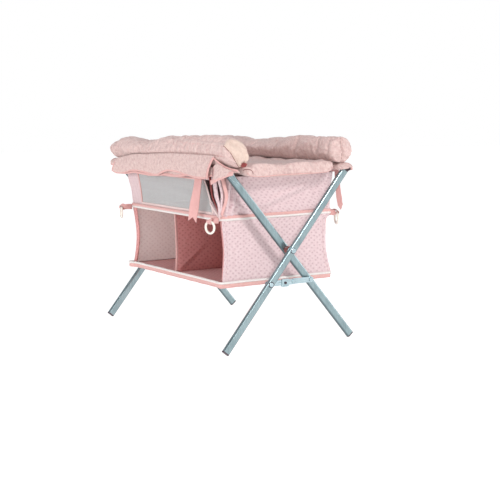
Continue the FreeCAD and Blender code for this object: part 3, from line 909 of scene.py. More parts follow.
def tub_point(px, py, nx, ny, tag, t, q):
    """Moves a wall point off the plain shape: sag, drape folds and bunched corners. q is the distance past the corner."""
    z = TZ0 + (TZ1 - TZ0) * t
    lift = math.sin(math.pi * min(max(t, 0), 1))
    d = -2.2 * lift
    if tag in ("right", "right_front", "right_rear", "left"):
        d = -4.5 * lift
        y = py if tag != "left" else -py
        d += crease(y, z, (114, 341), (-42, 283), 8.0, 4.6)
        d += crease(y, z, (-112, 299), (-58, 267), 6.5, 3.6, -1)
        d += crease(y, z, (92, 345), (-8, 318), 7.0, 2.2)
        d += crease(y, z, (124, 300), (40, 270), 9.0, 2.0)
        d += 1.2 * nz(y * 0.018, z * 0.02, 0.5, 41 if tag != "left" else 42)
    elif tag == "back":
        d += 2.5 * nz(px * 0.014, z * 0.012, 0.5, 43) + 1.2 * math.sin(px * 0.09 + 2.4 * t) * t
    elif tag in ("window",):
        d = -2.4 * lift + 0.8 * nz(px * 0.012, z * 0.02, 0.5, 44)
    # bunched folds round the near front corner
    e = math.exp(-((q - 12) / 24.0) ** 2) if q is not None else 0
    if e > 0.01 and tag in ("front_right", "corner_fr", "right_front"):
        if q > -2:
            k = step(-2, 5, q)
            d += k * e * (2.4 + 4.6 * math.sin(2 * math.pi * (q - 4) / (13.0 + 3.0 * t) - 1.2 * t)) * (0.25 + 0.75 * step(0.0, 0.25, t)) * (1 - 0.25 * t)
            d = min(d, 5.0)
        else:
            d += 1.0 * math.sin(q * 0.35) * step(-30, -4, q) * t
    if tag in ("corner_br", "corner_bl", "corner_fl", "right_rear"):
        d += 1.4 * math.sin((px + py) * 0.42) * t * (1 - 0.3 * t)
    return px + nx * d, py + ny * d, z


def tub_walls():
    ts = np.concatenate([np.linspace(0, WT0, 4)[:-1], np.linspace(WT0, WT1, 34)[:-1], np.linspace(WT1, 1.0, 5)])
    rows = [tub_row(t) for t in ts]
    n = len(rows[0])
    tags = [p[4] for p in rows[0]]
    i_corner = tags.index("corner_fr") + 7
    P = np.zeros((n, len(ts), 3))
    arc_len = np.zeros((n, len(ts)))
    s_l, s_r = i_corner - 9, i_corner - 4      # the slit's two edges, column numbers
    for j, t in enumerate(ts):
        pts = rows[j]
        xy = np.array([(p[0], p[1]) for p in pts])
        ds = np.concatenate([[0], np.cumsum(np.linalg.norm(np.diff(xy, axis=0), axis=1))])
        arc_len[:, j] = ds
        for i, p in enumerate(pts):
            q = ds[i] - ds[i_corner] if abs(ds[i] - ds[i_corner]) < 90 else None
            P[i, j] = tub_point(p[0], p[1], p[2], p[3], p[4], t, q)
    # open the slit: its two edges part towards the top
    for j, t in enumerate(ts):
        if t <= SLIT_T:
            continue
        w = 21.0 * ((t - SLIT_T) / (1 - SLIT_T)) ** 0.75
        left = np.array([-w * 0.62, -0.2, 0])
        right = np.array([w * 0.15, w * 0.25, 0])
        for i in range(s_l - 14, s_l + 1):
            P[i, j] += step(s_l - 14, s_l, i) * left
        for i in range(s_r, s_r + 12):
            P[i, j] += step(s_r + 12, s_r, i) * right
    UV = [[(arc_len[min(i, n - 1), j] if i < n else arc_len[n - 1, j] + 4, TZ0 + (TZ1 - TZ0) * ts[j]) for j in range(len(ts))] for i in range(n + 1)]
    j0 = 3
    j1 = 3 + 33
    win = [i for i, g in enumerate(tags) if g == "window"]
    w0, w1 = win[0], win[-1] + 1
    js = int(np.searchsorted(ts, SLIT_T))

    def skip(i, j):
        if w0 <= i < w1 and j0 <= j < j1:
            return True
        if w1 <= i < s_r:
            return P[i, j, 2] > 289.5 - (P[i, j, 0] - 172.0) * 0.8
        return False

    o = grid("tub_cloth", P, UV, close_u=True, skip=skip)
    solid(o, 1.6, 0.0)
    put(o, "print", replaces=("tub_shell",))
    return P, ts, w0, w1, j0, j1, s_l, s_r, js, UV


TP, TT, W0, W1, J0, J1, SL, SR, JS, TUV = tub_walls()


def band(name, P, N, width, thick, key, body="fabric_box"):
    """A flat tape along P with its broad side towards N."""
    P = np.asarray(P, float)
    T = unit(np.gradient(P, axis=0))
    N = unit(N)
    U = np.cross(N, T)
    o = sweep(name, P, lambda i, s: oval(thick / 2, width / 2, 12, 0.7), up=U)
    return put(o, key, body=body)


# tape round the net window
win_left = TP[W0, J0:J1 + 1]
win_right = TP[W1, J0:J1 + 1]
win_bot = TP[W0:W1 + 1, J0]
win_top = TP[W0:W1 + 1, J1]
OUT = np.array([0, -1.0, 0])
band("net_edge_left", win_left + OUT * 0.4, np.tile(OUT, (len(win_left), 1)), 4.5, 2.6, "bind")
band("net_edge_bottom", win_bot + OUT * 0.4 + np.array([0, 0, -0.6]), np.tile(OUT, (len(win_bot), 1)), 5.0, 2.6, "thread_pale")
band("net_edge_top", win_top + OUT * 0.4, np.tile(OUT, (len(win_top), 1)), 4.5, 2.6, "bind")
band("net_edge_right", win_right + OUT * 0.5, np.tile(OUT, (len(win_right), 1)), 5.0, 2.4, "thread_pale")
# bound edge of the corner opening
e2 = TP[SR, JS:]
band("opening_edge_side", e2, np.tile([0.8, -0.6, 0], (len(e2), 1)), 3.6, 2.4, "bind")
# loose cloth that closes the top of the opening, under the mat
P = np.zeros((26, 6, 3))
for i in range(26):
    f_ = i / 25
    p0 = TP[W1, -1] * (1 - f_) + TP[SR, -1] * f_
    for j in range(6):
        P[i, j] = p0 + np.array([0, -0.4 - 0.8 * math.sin(f_ * 9 + j * 0.5), -9.0 * j / 5])
o = grid("opening_top_hem", P, [[(i * 3, j * 2) for j in range(6)] for i in range(26)])
solid(o, 1.4, 0.0)
put(o, "print")


def roll(name, key_pts, rx, ry, key, seed):
    k = np.array(key_pts, float)
    s_ = np.linspace(0, len(k) - 1, 50)
    C = np.stack([curve(s_, range(len(k)), k[:, c]) for c in range(3)], 1)
    o = sweep(name, C, lambda i, s: oval(rx * (1 - 0.45 * s) * (1 + 0.12 * nz(i * 0.16, 0, 0, seed)), ry * (1 - 0.35 * s) * (1 + 0.12 * nz(i * 0.16, 3, 0, seed)), 14, 0.9,
                                             0.8 * math.sin(i * 0.22 + seed), 0.5 * math.cos(i * 0.17 + seed)), up=(0.5, -0.86, 0))
    return put(o, key)


roll("corner_fold_front", [(189.0, -133.8, 349), (195.0, -133.6, 326), (200.5, -132.4, 305), (203.5, -130.8, 286), (204.0, -129.4, 268)], 5.4, 2.8, "print", 3)
roll("corner_fold_side", [(219.0, -131.5, 349), (222.5, -127.5, 330), (221.5, -124.5, 310), (215.0, -124.0, 290), (207.5, -126.5, 270)], 5.0, 2.8, "bind", 5)
roll("corner_fold_inner", [(205.0, -131.0, 349), (210.0, -129.5, 325), (211.0, -127.8, 305), (208.5, -127.2, 286), (205.5, -128.0, 268)], 3.6, 2.2, "print", 7)
# the thin roll takes the dark tuck colour: painted shade in the corner opening
roll("corner_fold_thin", [(170.0, -132.6, 349), (176.0, -132.8, 326), (184.0, -132.4, 305), (195.0, -131.2, 284), (203.0, -129.6, 268)], 2.4, 1.8, "tuck", 9)
k = np.array([(169.0, -131.4, 292.5), (181.0, -131.6, 283.0), (194.0, -131.0, 272.5), (205.0, -129.8, 264.0)])
s_ = np.linspace(0, 3, 30)
C_ = np.stack([curve(s_, range(4), k[:, c]) for c in range(3)], 1)
o = sweep("corner_strap", C_, lambda i, s: oval(1.1, 2.6, 10, 0.8), up=(0.62, 0, 0.78))
put(o, "thread_pale")


def front_surface(x, t):
    """Point on the front wall between the window's edges."""
    xl, xr = window_x(t)
    u = (x - xl) / (xr - xl)
    f = W0 + u * (W1 - W0)
    i = int(min(max(math.floor(f), 0), W1 - 1))
    k = f - i
    j = int(min(max(np.searchsorted(TT, t) - 1, 0), len(TT) - 2))
    m = (t - TT[j]) / (TT[j + 1] - TT[j])
    a = TP[i, j] * (1 - k) + TP[i + 1, j] * k
    b = TP[i, j + 1] * (1 - k) + TP[i + 1, j + 1] * k
    return a * (1 - m) + b * m


def net():
    """Open diamond net: two families of slanting strands crossing over and under."""
    H = TZ1 - TZ0
    pitch_x, slope = 4.1, 0.8        # slope: rise per mm of run
    verts, faces, luv = [], [], []
    z_lo, z_hi = WT0 * H, WT1 * H
    for fam in (1, -1):
        x_start = WX_L[1] - 12 - (z_hi - z_lo) / slope
        x_end = WX_R[0] + 12 + (z_hi - z_lo) / slope
        for x0 in np.arange(x_start, x_end, pitch_x):
            run = []
            for zz in np.linspace(z_lo - 0.5, z_hi + 0.5, 25):
                x = x0 + fam * (zz - (z_lo + z_hi) / 2) / slope
                t = zz / H
                xl, xr = window_x(t)
                if xl - 0.5 <= x <= xr + 0.5:
                    run.append((x, t))
                elif run:
                    break
            if len(run) < 3:
                continue
            pts = np.array([front_surface(x, t) for x, t in run])
            T = unit(np.gradient(pts, axis=0))
            B = unit(np.cross(T, [0, -1, 0]))
            base = len(verts)
            for k, (p, b) in enumerate(zip(pts, B)):
                n = np.array([0, -1.0, 0])
                lift = 0.16 * fam
                w, h = 0.66, 0.3
                for c in ((w, 0), (0, h), (-w, 0), (0, -h)):
                    verts.append(p + b * c[0] + n * (c[1] + lift))
            m = len(pts)
            for k in range(m - 1):
                for c in range(4):
                    c2 = (c + 1) % 4
                    faces.append((base + k * 4 + c, base + k * 4 + c2, base + (k + 1) * 4 + c2, base + (k + 1) * 4 + c))
                    luv += [(k * 3, c), (k * 3, c + 1), (k * 3 + 3, c + 1), (k * 3 + 3, c)]
            faces.append((base, base + 1, base + 2, base + 3))
            faces.append((base + (m - 1) * 4 + 3, base + (m - 1) * 4 + 2, base + (m - 1) * 4 + 1, base + (m - 1) * 4))
            luv += [(0, 0)] * 8
    o = build("tub_net", verts, faces, luv)
    tidy(o)
    put(o, "net", replaces=("tub_mesh_panel",))


net()


def tub_bottom():
    nx, ny = 70, 50
    P = np.zeros((nx, ny, 3))
    UV = []
    for i in range(nx):
        row = []
        for j in range(ny):
            x = -199 + 398 * i / (nx - 1)
            y = -123 + 246 * j / (ny - 1)
            s = (1 - (x / 199) ** 4) * (1 - (y / 123) ** 4)
            z = 262.6 - 1.4 * s + 0.35 * nz(x * 0.03, y * 0.03, 0, 51)
            P[i, j] = (x, y, z)
            row.append((x, y))
        UV.append(row)
    o = grid("tub_bottom", P, UV)
    solid(o, 2.0, 0.0)
    # the tub bottom takes the shaded print copy: painted shade inside the tub
    put(o, "lining", replaces=("tub_floor",))


tub_bottom()


# sleeves that carry the tub on the two rails
for sy, node, body in ((1, "rear_rail_sleeve", "outer_frame"), (-1, "front_rail_sleeve", "inner_frame")):
    xs = np.linspace(-225, 225, 120)
    m = 28
    P = np.zeros((len(xs), m, 3))
    UV = []
    for i, x in enumerate(xs):
        row = []
        for j in range(m):
            a = 2 * math.pi * j / m
            r = 6.9 + 0.3 * nz(x * 0.035, math.cos(a) * 1.3, math.sin(a) * 1.3, 61 + sy) + 0.25 * math.sin(x * 0.22 + 2 * math.sin(a))
            r = max(r, 6.25)
            P[i, j] = (x, sy * 133.05 + r * math.cos(a), 357.5 + r * math.sin(a))
        UV.append([(x, 7.2 * 2 * math.pi * j / m) for j in range(m + 1)])
    o = grid("rail_sleeve_%s" % ("rear" if sy > 0 else "front"), P, UV, close_v=True)
    solid(o, 0.7, -1.0)
    put(o, "print", body=body, replaces=(node,), squash=False)

# ------------------------------------------------------------------ small metal details on the legs
FR = {"outer": ("outer_frame", 1), "inner": ("inner_frame", -1)}
for sx, lab in ((1, "right"), (-1, "left")):
    # pressed ends of the inner legs: two raised beads running down from the rail, in the paler steel colour as a
    # painted highlight where the folds catch the light
    for w0, w1, tag in ((5.4, 2.2, "a"), (-4.6, -0.6, "b")):
        pts = []
        for k in range(24):
            f = k / 23
            sd = 9 + 30 * f
            ww = w0 + (w1 - w0) * f
            pts.append((sx * (247.2 - 0.9 * f), -133.05 + 0.637 * sd + 0.771 * ww, 357.5 - 0.771 * sd + 0.637 * ww))
        o = sweep("leg_end_bead_%s_%s" % (tag, lab), pts, lambda i, s: oval(1.7 * (1 - 0.7 * s), 1.3 * (1 - 0.6 * s), 10), up=(1, 0, 0))
        put(o, "steel", body="inner_frame", squash=False)
    # dark washers under the rivet heads
    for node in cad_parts:
        if not node.endswith("_" + lab):
            continue
        if node.startswith("pivot_rivet"):
            body = "pivots"
        elif node.startswith("brace_rivet_outer"):
            body = "outer_frame"
        else:
            continue
        lo, hi = np.array(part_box(node)[0]) / MM, np.array(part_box(node)[1]) / MM
        c = (lo + hi) / 2
        a = np.linspace(0, 2 * math.pi, 33)[:-1]
        pts = np.stack([np.full(32, sx * 271.35), c[1] + 5.4 * np.cos(a), c[2] + 5.4 * np.sin(a)], 1)
        o = sweep(node + "_washer", pts, lambda i, s: oval(0.75, 1.1, 8), closed=True, up=(1, 0, 0))
        put(o, "dark", body=body, squash=False)

    lo, hi = np.array(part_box("lock_collar_" + lab)[0]) / MM, np.array(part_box("lock_collar_" + lab)[1]) / MM
    c = (lo + hi) / 2
    xf = hi[0] if sx > 0 else lo[0]
    for dyy, rr, tag in ((0.0, 2.6, "screw"),):
        n, m = 24, 7
        P = np.zeros((n, m, 3))
        for i in range(n):
            a = 2 * math.pi * i / n
            for j, (q, h) in enumerate(((1.0, -0.6), (1.0, 0.5), (0.9, 0.95), (0.68, 1.25), (0.5, 1.3), (0.46, 0.5), (0.02, 0.45))):
                hexa = 1.0 if j < 4 else 1 / math.cos(((a + math.pi / 6) % (math.pi / 3)) - math.pi / 6) * 0.95
                P[i, j] = (xf + sx * h, c[1] + dyy + rr * q * hexa * math.cos(a), c[2] + rr * q * hexa * math.sin(a))
        o = grid("lock_%s_%s" % (tag, lab), P, [[(i, j) for j in range(m)] for i in range(n + 1)], close_u=True)
        put(o, "dark", body="lock_" + lab, squash=False)

# ------------------------------------------------------------------ rings and their loops
YAW = math.radians(18.0)


def place(sx, sy, pts):
    """Local (out, across, up) from a ring's hanging point to the corner sx, sy."""
    pts = np.asarray(pts, float)
    d = np.array([math.sin(YAW), -math.cos(YAW), 0])
    c = np.array([math.cos(YAW), math.sin(YAW), 0])
    top = np.array([204.0, -152.0, 259.5])
    w = top + pts[..., 0:1] * d + pts[..., 1:2] * c + pts[..., 2:3] * np.array([0, 0, 1.0])
    w = w * np.array([sx, -sy, 1])
    return w


LOOPS = []
for sy, fb in ((-1, "front"), (1, "rear")):
    for sx, side in ((1, "right"), (-1, "left")):
        # ring: thick rounded section, a little taller than wide
        n, m = 56, 16
        P = np.zeros((n, m, 3))
        for i in range(n):
            a = 2 * math.pi * i / n
            for j in range(m):
                b = 2 * math.pi * j / m
                rr = 11.75 + 2.35 * math.cos(b)
                P[i, j] = (2.5 * math.sin(b), rr * 0.97 * math.sin(a), -11.75 + rr * math.cos(a))
        W = place(sx, sy, P)
        UV = [[(i * 1.3, j * 0.9) for j in range(m + 1)] for i in range(n + 1)]
        o = grid("toy_ring_%s_%s" % (fb, side), W, UV, close_u=True, close_v=True)
        put(o, "ring", body="ring_%s_%s_body" % (fb, side), replaces=("ring_%s_%s" % (fb, side),))
        # loop: a ribbon out from the corner, over the ring and back underneath
        key = [(-24.5, 0.6), (-19, 2.6), (-12, 4.6), (-5, 5.0), (0, 4.15), (3.4, 1.9), (4.1, -0.8), (2.6, -3.2),
               (0, -3.9), (-4, -3.2), (-9, -1.2), (-15, 0.2), (-20, -0.4), (-24.5, -1.0)]
        k = np.array(key)
        s = np.linspace(0, len(k) - 1, 70)
        px = curve(s, np.arange(len(k)), k[:, 0])
        pz = curve(s, np.arange(len(k)), k[:, 1])
        half = 5.7
        tw = []
        for i in range(len(s)):
            an = math.radians(78) * float(step(2.0, -9, px[i]))
            row = []
            for v in np.linspace(-1, 1, 9):
                c_, u_ = half * v * (1 + 0.06 * math.sin(i * 0.3)), pz[i] + 0.35 * v * math.sin(i * 0.12)
                row.append((px[i], c_ * math.cos(an) - u_ * math.sin(an), c_ * math.sin(an) + u_ * math.cos(an)))
            tw.append(row)
        tw = np.array(tw)
        Wl = place(sx, sy, tw)
        UVl = [[(i * 1.1, half * v) for v in np.linspace(-1, 1, 9)] for i in range(len(s))]
        o = grid("ring_loop_%s_%s" % (fb, side), Wl, UVl)
        solid(o, 0.8, 0.0)
        LOOPS.append(o)
for i, o in enumerate(LOOPS):
    put(o, "ribbon", replaces=("ring_loops",) if i == 0 else (), deep=False)

# ------------------------------------------------------------------ mat
BY, BZ, BR = 122.0, 391.5, 27.2
TOP_X = [-278, -250, -222, -136, -64, 6, 60, 103, 177, 248, 278]
TOP_F = [-10.0, -7.5, -5.0, -4.1, -4.4, 2.3, 5.2, 7.4, 7.1, 5.6, 3.6]
TOP_R = [-10.0, -10.0, -9.0, -7.5, -5.0, -3.0, -2.0, -1.0, 0.6, 2.4, 2.4]
SEAM_X = [-250, -218, -133, -59, -12, 78, 163, 225]
SEAM_Z = [366.0, 369.0, 380.0, 383.5, 386.0, 388.5, 389.0, 389.0]


def bolster_start(name, sy, shrink):
    n, m = 118, 44
    P = np.zeros((n, m, 3))
    for i in range(n):
        s = i / (n - 1)
        x = -276.5 + 553 * s
        e = max(0.0, (abs(x) - 258.0) / 18.6)
        r = (BR - shrink) * max(0.04, (1 - e ** 2.3)) ** 0.5
        for j in range(m):
            a = 2 * math.pi * j / m
            rr = r * (1 + 0.025 * nz(x * 0.02, math.cos(a), math.sin(a), 71 + sy))
            P[i, j] = (x, sy * BY + rr * math.cos(a), BZ + rr * math.sin(a))
    UV = [[(0, 0)] * (m + 1)] * (n + 1)
    return grid(name, P, UV, close_v=True, caps=True)


def remesh(o, size):
    m = o.modifiers.new("r", "REMESH")
    m.mode = "VOXEL"
    m.voxel_size = size * MM
    m.use_smooth_shade = True
    bake(o)
    return o


def puff(o, pin, cap, pressure=4.0, frames=20, grow=-0.03, stiff=12.0):
    """Swells a closed cloth with air, held where pin(x, y, z) says, and never moving more than cap mm."""
    rest = np.array([v.co for v in o.data.vertices]) / MM
    g = o.vertex_groups.new(name="pin")
    for i, p in enumerate(rest):
        w = pin(*p)
        if w > 0:
            g.add([i], min(1.0, w), "REPLACE")
    c = o.modifiers.new("Cloth", "CLOTH")
    c.settings.quality = 6
    c.settings.mass = 0.25
    c.settings.tension_stiffness = stiff
    c.settings.compression_stiffness = stiff
    c.settings.shear_stiffness = stiff * 0.5
    c.settings.bending_stiffness = 0.4
    c.settings.use_pressure = True
    c.settings.uniform_pressure_force = pressure
    c.settings.shrink_min = grow
    c.settings.vertex_group_mass = "pin"
    c.settings.pin_stiffness = 1.0
    c.settings.effector_weights.gravity = 0.0
    c.collision_settings.use_collision = False
    c.collision_settings.use_self_collision = False
    c.point_cache.frame_start = 1
    c.point_cache.frame_end = frames
    for f in range(1, frames + 1):
        bpy.context.scene.frame_set(f)
    dg = bpy.context.evaluated_depsgraph_get()
    got = np.array([v.co for v in o.evaluated_get(dg).data.vertices]) / MM
    o.modifiers.clear()
    o.vertex_groups.clear()
    bpy.context.scene.frame_set(1)
    mv = got - rest
    d = np.linalg.norm(mv, axis=1, keepdims=True)
    mv *= np.minimum(1.0, cap / np.maximum(d, 1e-9))
    new = rest + mv
    o.data.vertices.foreach_set("co", (new * MM).ravel())
    o.data.update()
    return new


def refine(o, levels=1):
    s = o.modifiers.new("sub", "SUBSURF")
    s.levels = s.render_levels = levels
    return bake(o)


def coords(o):
    a = np.zeros(len(o.data.vertices) * 3)
    o.data.vertices.foreach_get("co", a)
    return a.reshape(-1, 3) / MM


def set_coords(o, a):
    o.data.vertices.foreach_set("co", (np.asarray(a) * MM).ravel())
    o.data.update()


def loop_uv(o, fn):
    me = o.data
    layer = me.uv_layers.get("UVMap") or me.uv_layers.new(name="UVMap")
    co = coords(o)
    nrm = np.zeros(len(me.vertices) * 3)
    me.vertices.foreach_get("normal", nrm)
    nrm = nrm.reshape(-1, 3)
    out = np.zeros((len(me.loops), 2))
    for p in me.polygons:
        vs = [me.loops[l].vertex_index for l in p.loop_indices]
        out[list(p.loop_indices)] = fn(co[vs], np.array(p.normal))
    layer.data.foreach_set("uv", (out * MM).ravel())


def bolster_uv(sy):
    def fn(c, n):
        a = np.arctan2(c[:, 2] - BZ, (c[:, 1] - sy * BY) * sy)      # 0 outwards, 90 deg up
        a = np.where(a < -math.pi / 2, a + 2 * math.pi, a)
        if a.max() - a.min() > math.pi:
            a = np.where(a > math.pi / 2, a - 2 * math.pi, a)
        if abs(n[0]) > 0.75:
            return np.stack([c[:, 1], c[:, 2]], 1)
        return np.stack([c[:, 0], a * BR], 1)
    return fn


def seam_angle(x):
    """Height of the long front seam on the front bolster."""
    return curve(x, SEAM_X, SEAM_Z)


CAP_F = ([-158.0, -154.0, -149.0, -142.0, -134.0, -125.0, -116.0, -108.0], [425.0, 415.0, 407.0, 397.0, 386.0, 374.0, 365.0, 359.0])


def cap_side(y, z, front):
    """Signed distance (roughly) from the seam across the near end; positive is the cap's side."""
    if front:
        zz = curve(-np.asarray(y, float), [-v for v in CAP_F[0]][::-1], CAP_F[1][::-1])
        return (np.asarray(z, float) - zz) * 0.62
    yy = curve(z, [360, 372, 385, 400, 412, 422], [121.5, 120.5, 118.5, 117.5, 119.0, 124.0])
    return np.asarray(y, float) - yy


def make_bolster(sy):
    front = sy < 0
    name = "bolster_front" if front else "bolster_rear"
    o = bolster_start(name, sy, 1.6)
    remesh(o, 4.6)

    def pin(x, y, z):
        w = 0.0
        if abs(abs(x) - 262) < 2.6:
            w = 0.85
        if front and (y + BY) < -12 and abs(z - float(seam_angle(x))) < 2.4:
            w = max(w, 0.9)
        if front and 40 < x < 262 and y + BY < 0 and abs((z - BZ) - 17.5) < 2.2 and y < -BY - 14:
            w = max(w, 0.6)
        if z < BZ - 21:
            w = max(w, 0.8)
        return w

    puff(o, pin, 6.0, pressure=3.2, frames=18, grow=-0.055)
    refine(o)
    co = coords(o)
    x, y, z = co[:, 0], co[:, 1], co[:, 2]
    dy, dz = y - sy * BY, z - BZ
    rad = np.hypot(dy, dz)
    body_r = np.median(rad[(np.abs(x) < 245) & (dz > 0)])
    fit = 1 + (27.3 / body_r - 1) * step(277, 262, np.abs(x))
    dy, dz, rad = dy * fit, dz * fit, rad * fit
    ang = np.arctan2(dz, dy * sy)             # 0 outwards
    nv = len(co)
    # cloth slack: soft dents and ripples, finer towards the seams
    bump = np.array([0.9 * nz(x[i] * 0.022, dy[i] * 0.045, dz[i] * 0.045, 81 + sy)
                     + 0.55 * nz(x[i] * 0.07, dy[i] * 0.06, dz[i] * 0.06, 83 + sy)
                     + 0.22 * nz(x[i] * 0.22, dy[i] * 0.11, dz[i] * 0.11, 85 + sy) for i in range(nv)])
    mid = step(0, 8, rad)
    rad2 = rad + bump * (1.25 if front else 0.8) * mid
    # lengthwise seams and the end seams
    groove = np.zeros(nv)
    if front:
        s1 = (z - seam_angle(x))
        on = (dy < -10) * step(262, 250, np.abs(x))
        groove += on * 2.6 * np.exp(-(s1 / 2.6) ** 2)
        groove -= on * 0.9 * np.exp(-((np.abs(s1) - 8) / 5.0) ** 2)
        zz = curve(x, [30, 90, 170, 262], [415.0, 411.5, 410.0, 408.0])
        s2 = z - zz
        on2 = (dy < -4) * step(20, 60, x) * step(264, 258, x)
        groove += on2 * 1.5 * np.exp(-(s2 / 2.0) ** 2)
        # puckers across the long seam
        groove += on * 0.7 * np.exp(-(s1 / 9.0) ** 2) * np.sin(x * 0.42 + 1.7 * np.sin(x * 0.05))
    else:
        s1 = z - (BZ + 4)
        on = (dy > 10) * step(262, 250, np.abs(x))
        groove += on * 1.8 * np.exp(-(s1 / 2.4) ** 2)
        groove += on * 0.5 * np.exp(-(s1 / 9.0) ** 2) * np.sin(x * 0.42 + 1.7 * np.sin(x * 0.05))
    wob = 1.2 * np.sin(ang * 3 + 2)
    groove += 1.9 * np.exp(-(((x + 261) - wob) / 2.0) ** 2)
    groove -= 0.7 * np.exp(-((np.abs(x + 261 - wob) - 5.0) / 3.0) ** 2)
    for cx in (-261.0, 261.0):
        groove += 0.5 * np.exp(-((x - cx) / 12.0) ** 2) * np.sin(ang * 17 + 2 * np.sin(ang * 3)) * step(6, 16, rad)
    rad2 = rad2 - groove * mid
    k = np.where(rad > 1e-3, rad2 / np.maximum(rad, 1e-3), 1.0)
    y = sy * BY + dy * k
    z = BZ + dz * k
    # the top line rises and dips along the length
    lift = curve(x, TOP_X, TOP_F if front else TOP_R)
    z = z + lift * step(-6, 20, z - BZ)
    if front:
        # a soft dent in the crown left of the middle
        z -= 1.2 * np.exp(-((x + 60) / 26.0) ** 2) * step(5, 24, z - BZ)
        # far end: the cap droops and narrows
        e = step(-238, -280, x)
        z -= 3.0 * e * step(-5, 25, z - BZ)
    if front:
        y = y - step(228, 272, x) * (z - 388) * 0.34
    # the near end is closed by a seam running across it
    off = cap_side(y, z, front)
    face = step(250, 266, x)
    x = x - face * 3.4 * np.exp(-(off / 2.0) ** 2) + face * 1.3 * np.exp(-((np.abs(off) - 7) / 4.0) ** 2)
    x = x + face * 0.8 * np.exp(-(off / 9.0) ** 2) * np.sin((z + 0.6 * y) * 0.55)
    # pinched tuck low on each near cap
    for (ty, tz, dep, rr) in (((-110.0, 371.5, 11.0, 7.0) if front else (108.0, 370.0, 5.5, 6.5)),):
        dd = np.hypot(y - ty, z - tz)
        near = step(262, 270, x)
        x = x - near * dep * np.exp(-(dd / rr) ** 2)
        th = np.arctan2(z - tz, y - ty)
        x = x + near * 1.3 * np.sin(th * 7) * np.exp(-((dd - 9) / 6.0) ** 2)
    # bulge of the caps, with a crease or two
    capk = step(264, 276, np.abs(x))
    x = x + np.sign(x) * capk * 1.2 * np.array([nz(y[i] * 0.06, z[i] * 0.06, 1, 87 + sy) for i in range(nv)])
    if not front:
        u = (y - 128) * 0.86 + (z - 377) * -0.5
        v = (y - 128) * 0.5 + (z - 377) * 0.86
        x = x - step(262, 270, x) * 1.8 * np.exp(-(v / 1.8) ** 2) * np.exp(-(u / 9.0) ** 2)
    # keep inside its space: never lower or wider than the rails and pad allow
    dy, dz = y - sy * BY, z - BZ
    rad = np.hypot(dy, dz)
    lim = np.where(dz < 0, 26.2 - 1.9 * step(226, 238, np.abs(x)) + 5.0 * step(-16, 0, dz), 37.0)
    k = np.minimum(1, lim / np.maximum(rad, 1e-6))
    y, z = sy * BY + dy * k, BZ + dz * k
    x = np.clip(x, -281, 281)
    set_coords(o, np.stack([x, y, z], 1))
    loop_uv(o, bolster_uv(sy))
    o.data.materials.clear()
    o.data.materials.append(M["mat"])
    o.data.materials.append(M["mat_end"])
    pc = np.array([p.center for p in o.data.polygons]) / MM
    side = cap_side(pc[:, 1], pc[:, 2], front)
    for p, q, d in zip(o.data.polygons, pc, side):
        if front and q[0] > 258 and d > 0:
            p.material_index = 1
    node = "mat_bolster_front" if front else "mat_bolster_rear"
    put(o, None, body="mat", replaces=(node,))
    return o


def surface(o):
    bm = bmesh.new()
    bm.from_mesh(o.data)
    t = BVHTree.FromBMesh(bm)
    bm.free()
    return t


def project(tree, origin, direction, reach=0.08):
    hit, nrm, _, _ = tree.ray_cast(Vector(origin) * MM, Vector(direction).normalized(), reach)
    if hit is None:
        return None
    return np.array(hit) / MM, np.array(nrm)


BF = make_bolster(-1)
BB = make_bolster(1)


def seam_line(name, tree, starts, dirs, r=0.55, key="thread", body="mat", sink=0.2, stitch=True):
    """A cord lying in a seam, found by looking in from outside."""
    P, N = [], []
    for s, d in zip(starts, dirs):
        h = project(tree, s, d)
        if h is None:
            continue
        n = h[1] if np.dot(h[1], d) < 0 else -h[1]
        P.append(h[0] - n * sink)
        N.append(n)
    if len(P) < 4:
        return
    P, N = np.array(P), np.array(N)
    for _ in range(2):
        P[1:-1] = (P[:-2] + 2 * P[1:-1] + P[2:]) / 4
    T = unit(np.gradient(P, axis=0))
    U = unit(np.cross(T, N) * 0 + N)
    o = sweep(name, P, lambda i, s: oval(r, r * 0.8, 8), up=U)
    put(o, key, body=body)


tf = surface(BF)
xs = np.linspace(-252, 258, 200)
seam_line("front_long_seam", tf, [(x, -190, float(seam_angle(x))) for x in xs], [(0, 1, 0)] * len(xs), r=0.6)
xs2 = np.linspace(48, 259, 90)
seam_line("front_upper_seam", tf, [(x, -190, float(curve(x, [30, 90, 170, 262], [415.0, 411.5, 410.0, 408.0]))) for x in xs2],
          [(0, 1, 0)] * len(xs2), r=0.35)
tb = surface(BB)
seam_line("rear_long_seam", tb, [(x, 190, 395.5) for x in xs], [(0, -1, 0)] * len(xs), r=0.5)
for tree, sy, lab in ((tf, -1, "front"), (tb, 1, "rear")):
    for cx in (-261.0,):
        st, di = [], []
        for a in np.linspace(math.radians(-60), math.radians(240), 90):
            wob = 1.2 * math.sin(a * 3 + (1 if cx > 0 else 2))
            st.append((cx + wob, sy * BY + 60 * math.cos(a) * sy, BZ + 60 * math.sin(a)))
            di.append((0, -math.cos(a) * sy, -math.sin(a)))
        seam_line("%s_cap_seam_%s" % (lab, "right" if cx > 0 else "left"), tree, st, di, r=0.5)


def across(name, tree, pts, key, r):
    seam_line(name, tree, [(330, y, z) for y, z in pts], [(-1, 0, 0)] * len(pts), r=r, key=key)


f = np.linspace(0.12, 0.92, 50)
# these cap seams use the dark seam colour: painted shade in the groove
across("front_cap_seam_right", tf, [(float(curve(k * 7, range(8), CAP_F[0])), float(curve(k * 7, range(8), CAP_F[1]))) for k in f], "seam", 0.75)
zz = np.linspace(367, 416, 50)
across("rear_cap_seam_right", tb, [(float(curve(z, [360, 372, 385, 400, 412, 422], [121.5, 120.5, 118.5, 117.5, 119.0, 124.0])), float(z)) for z in zz], "seam", 0.5)


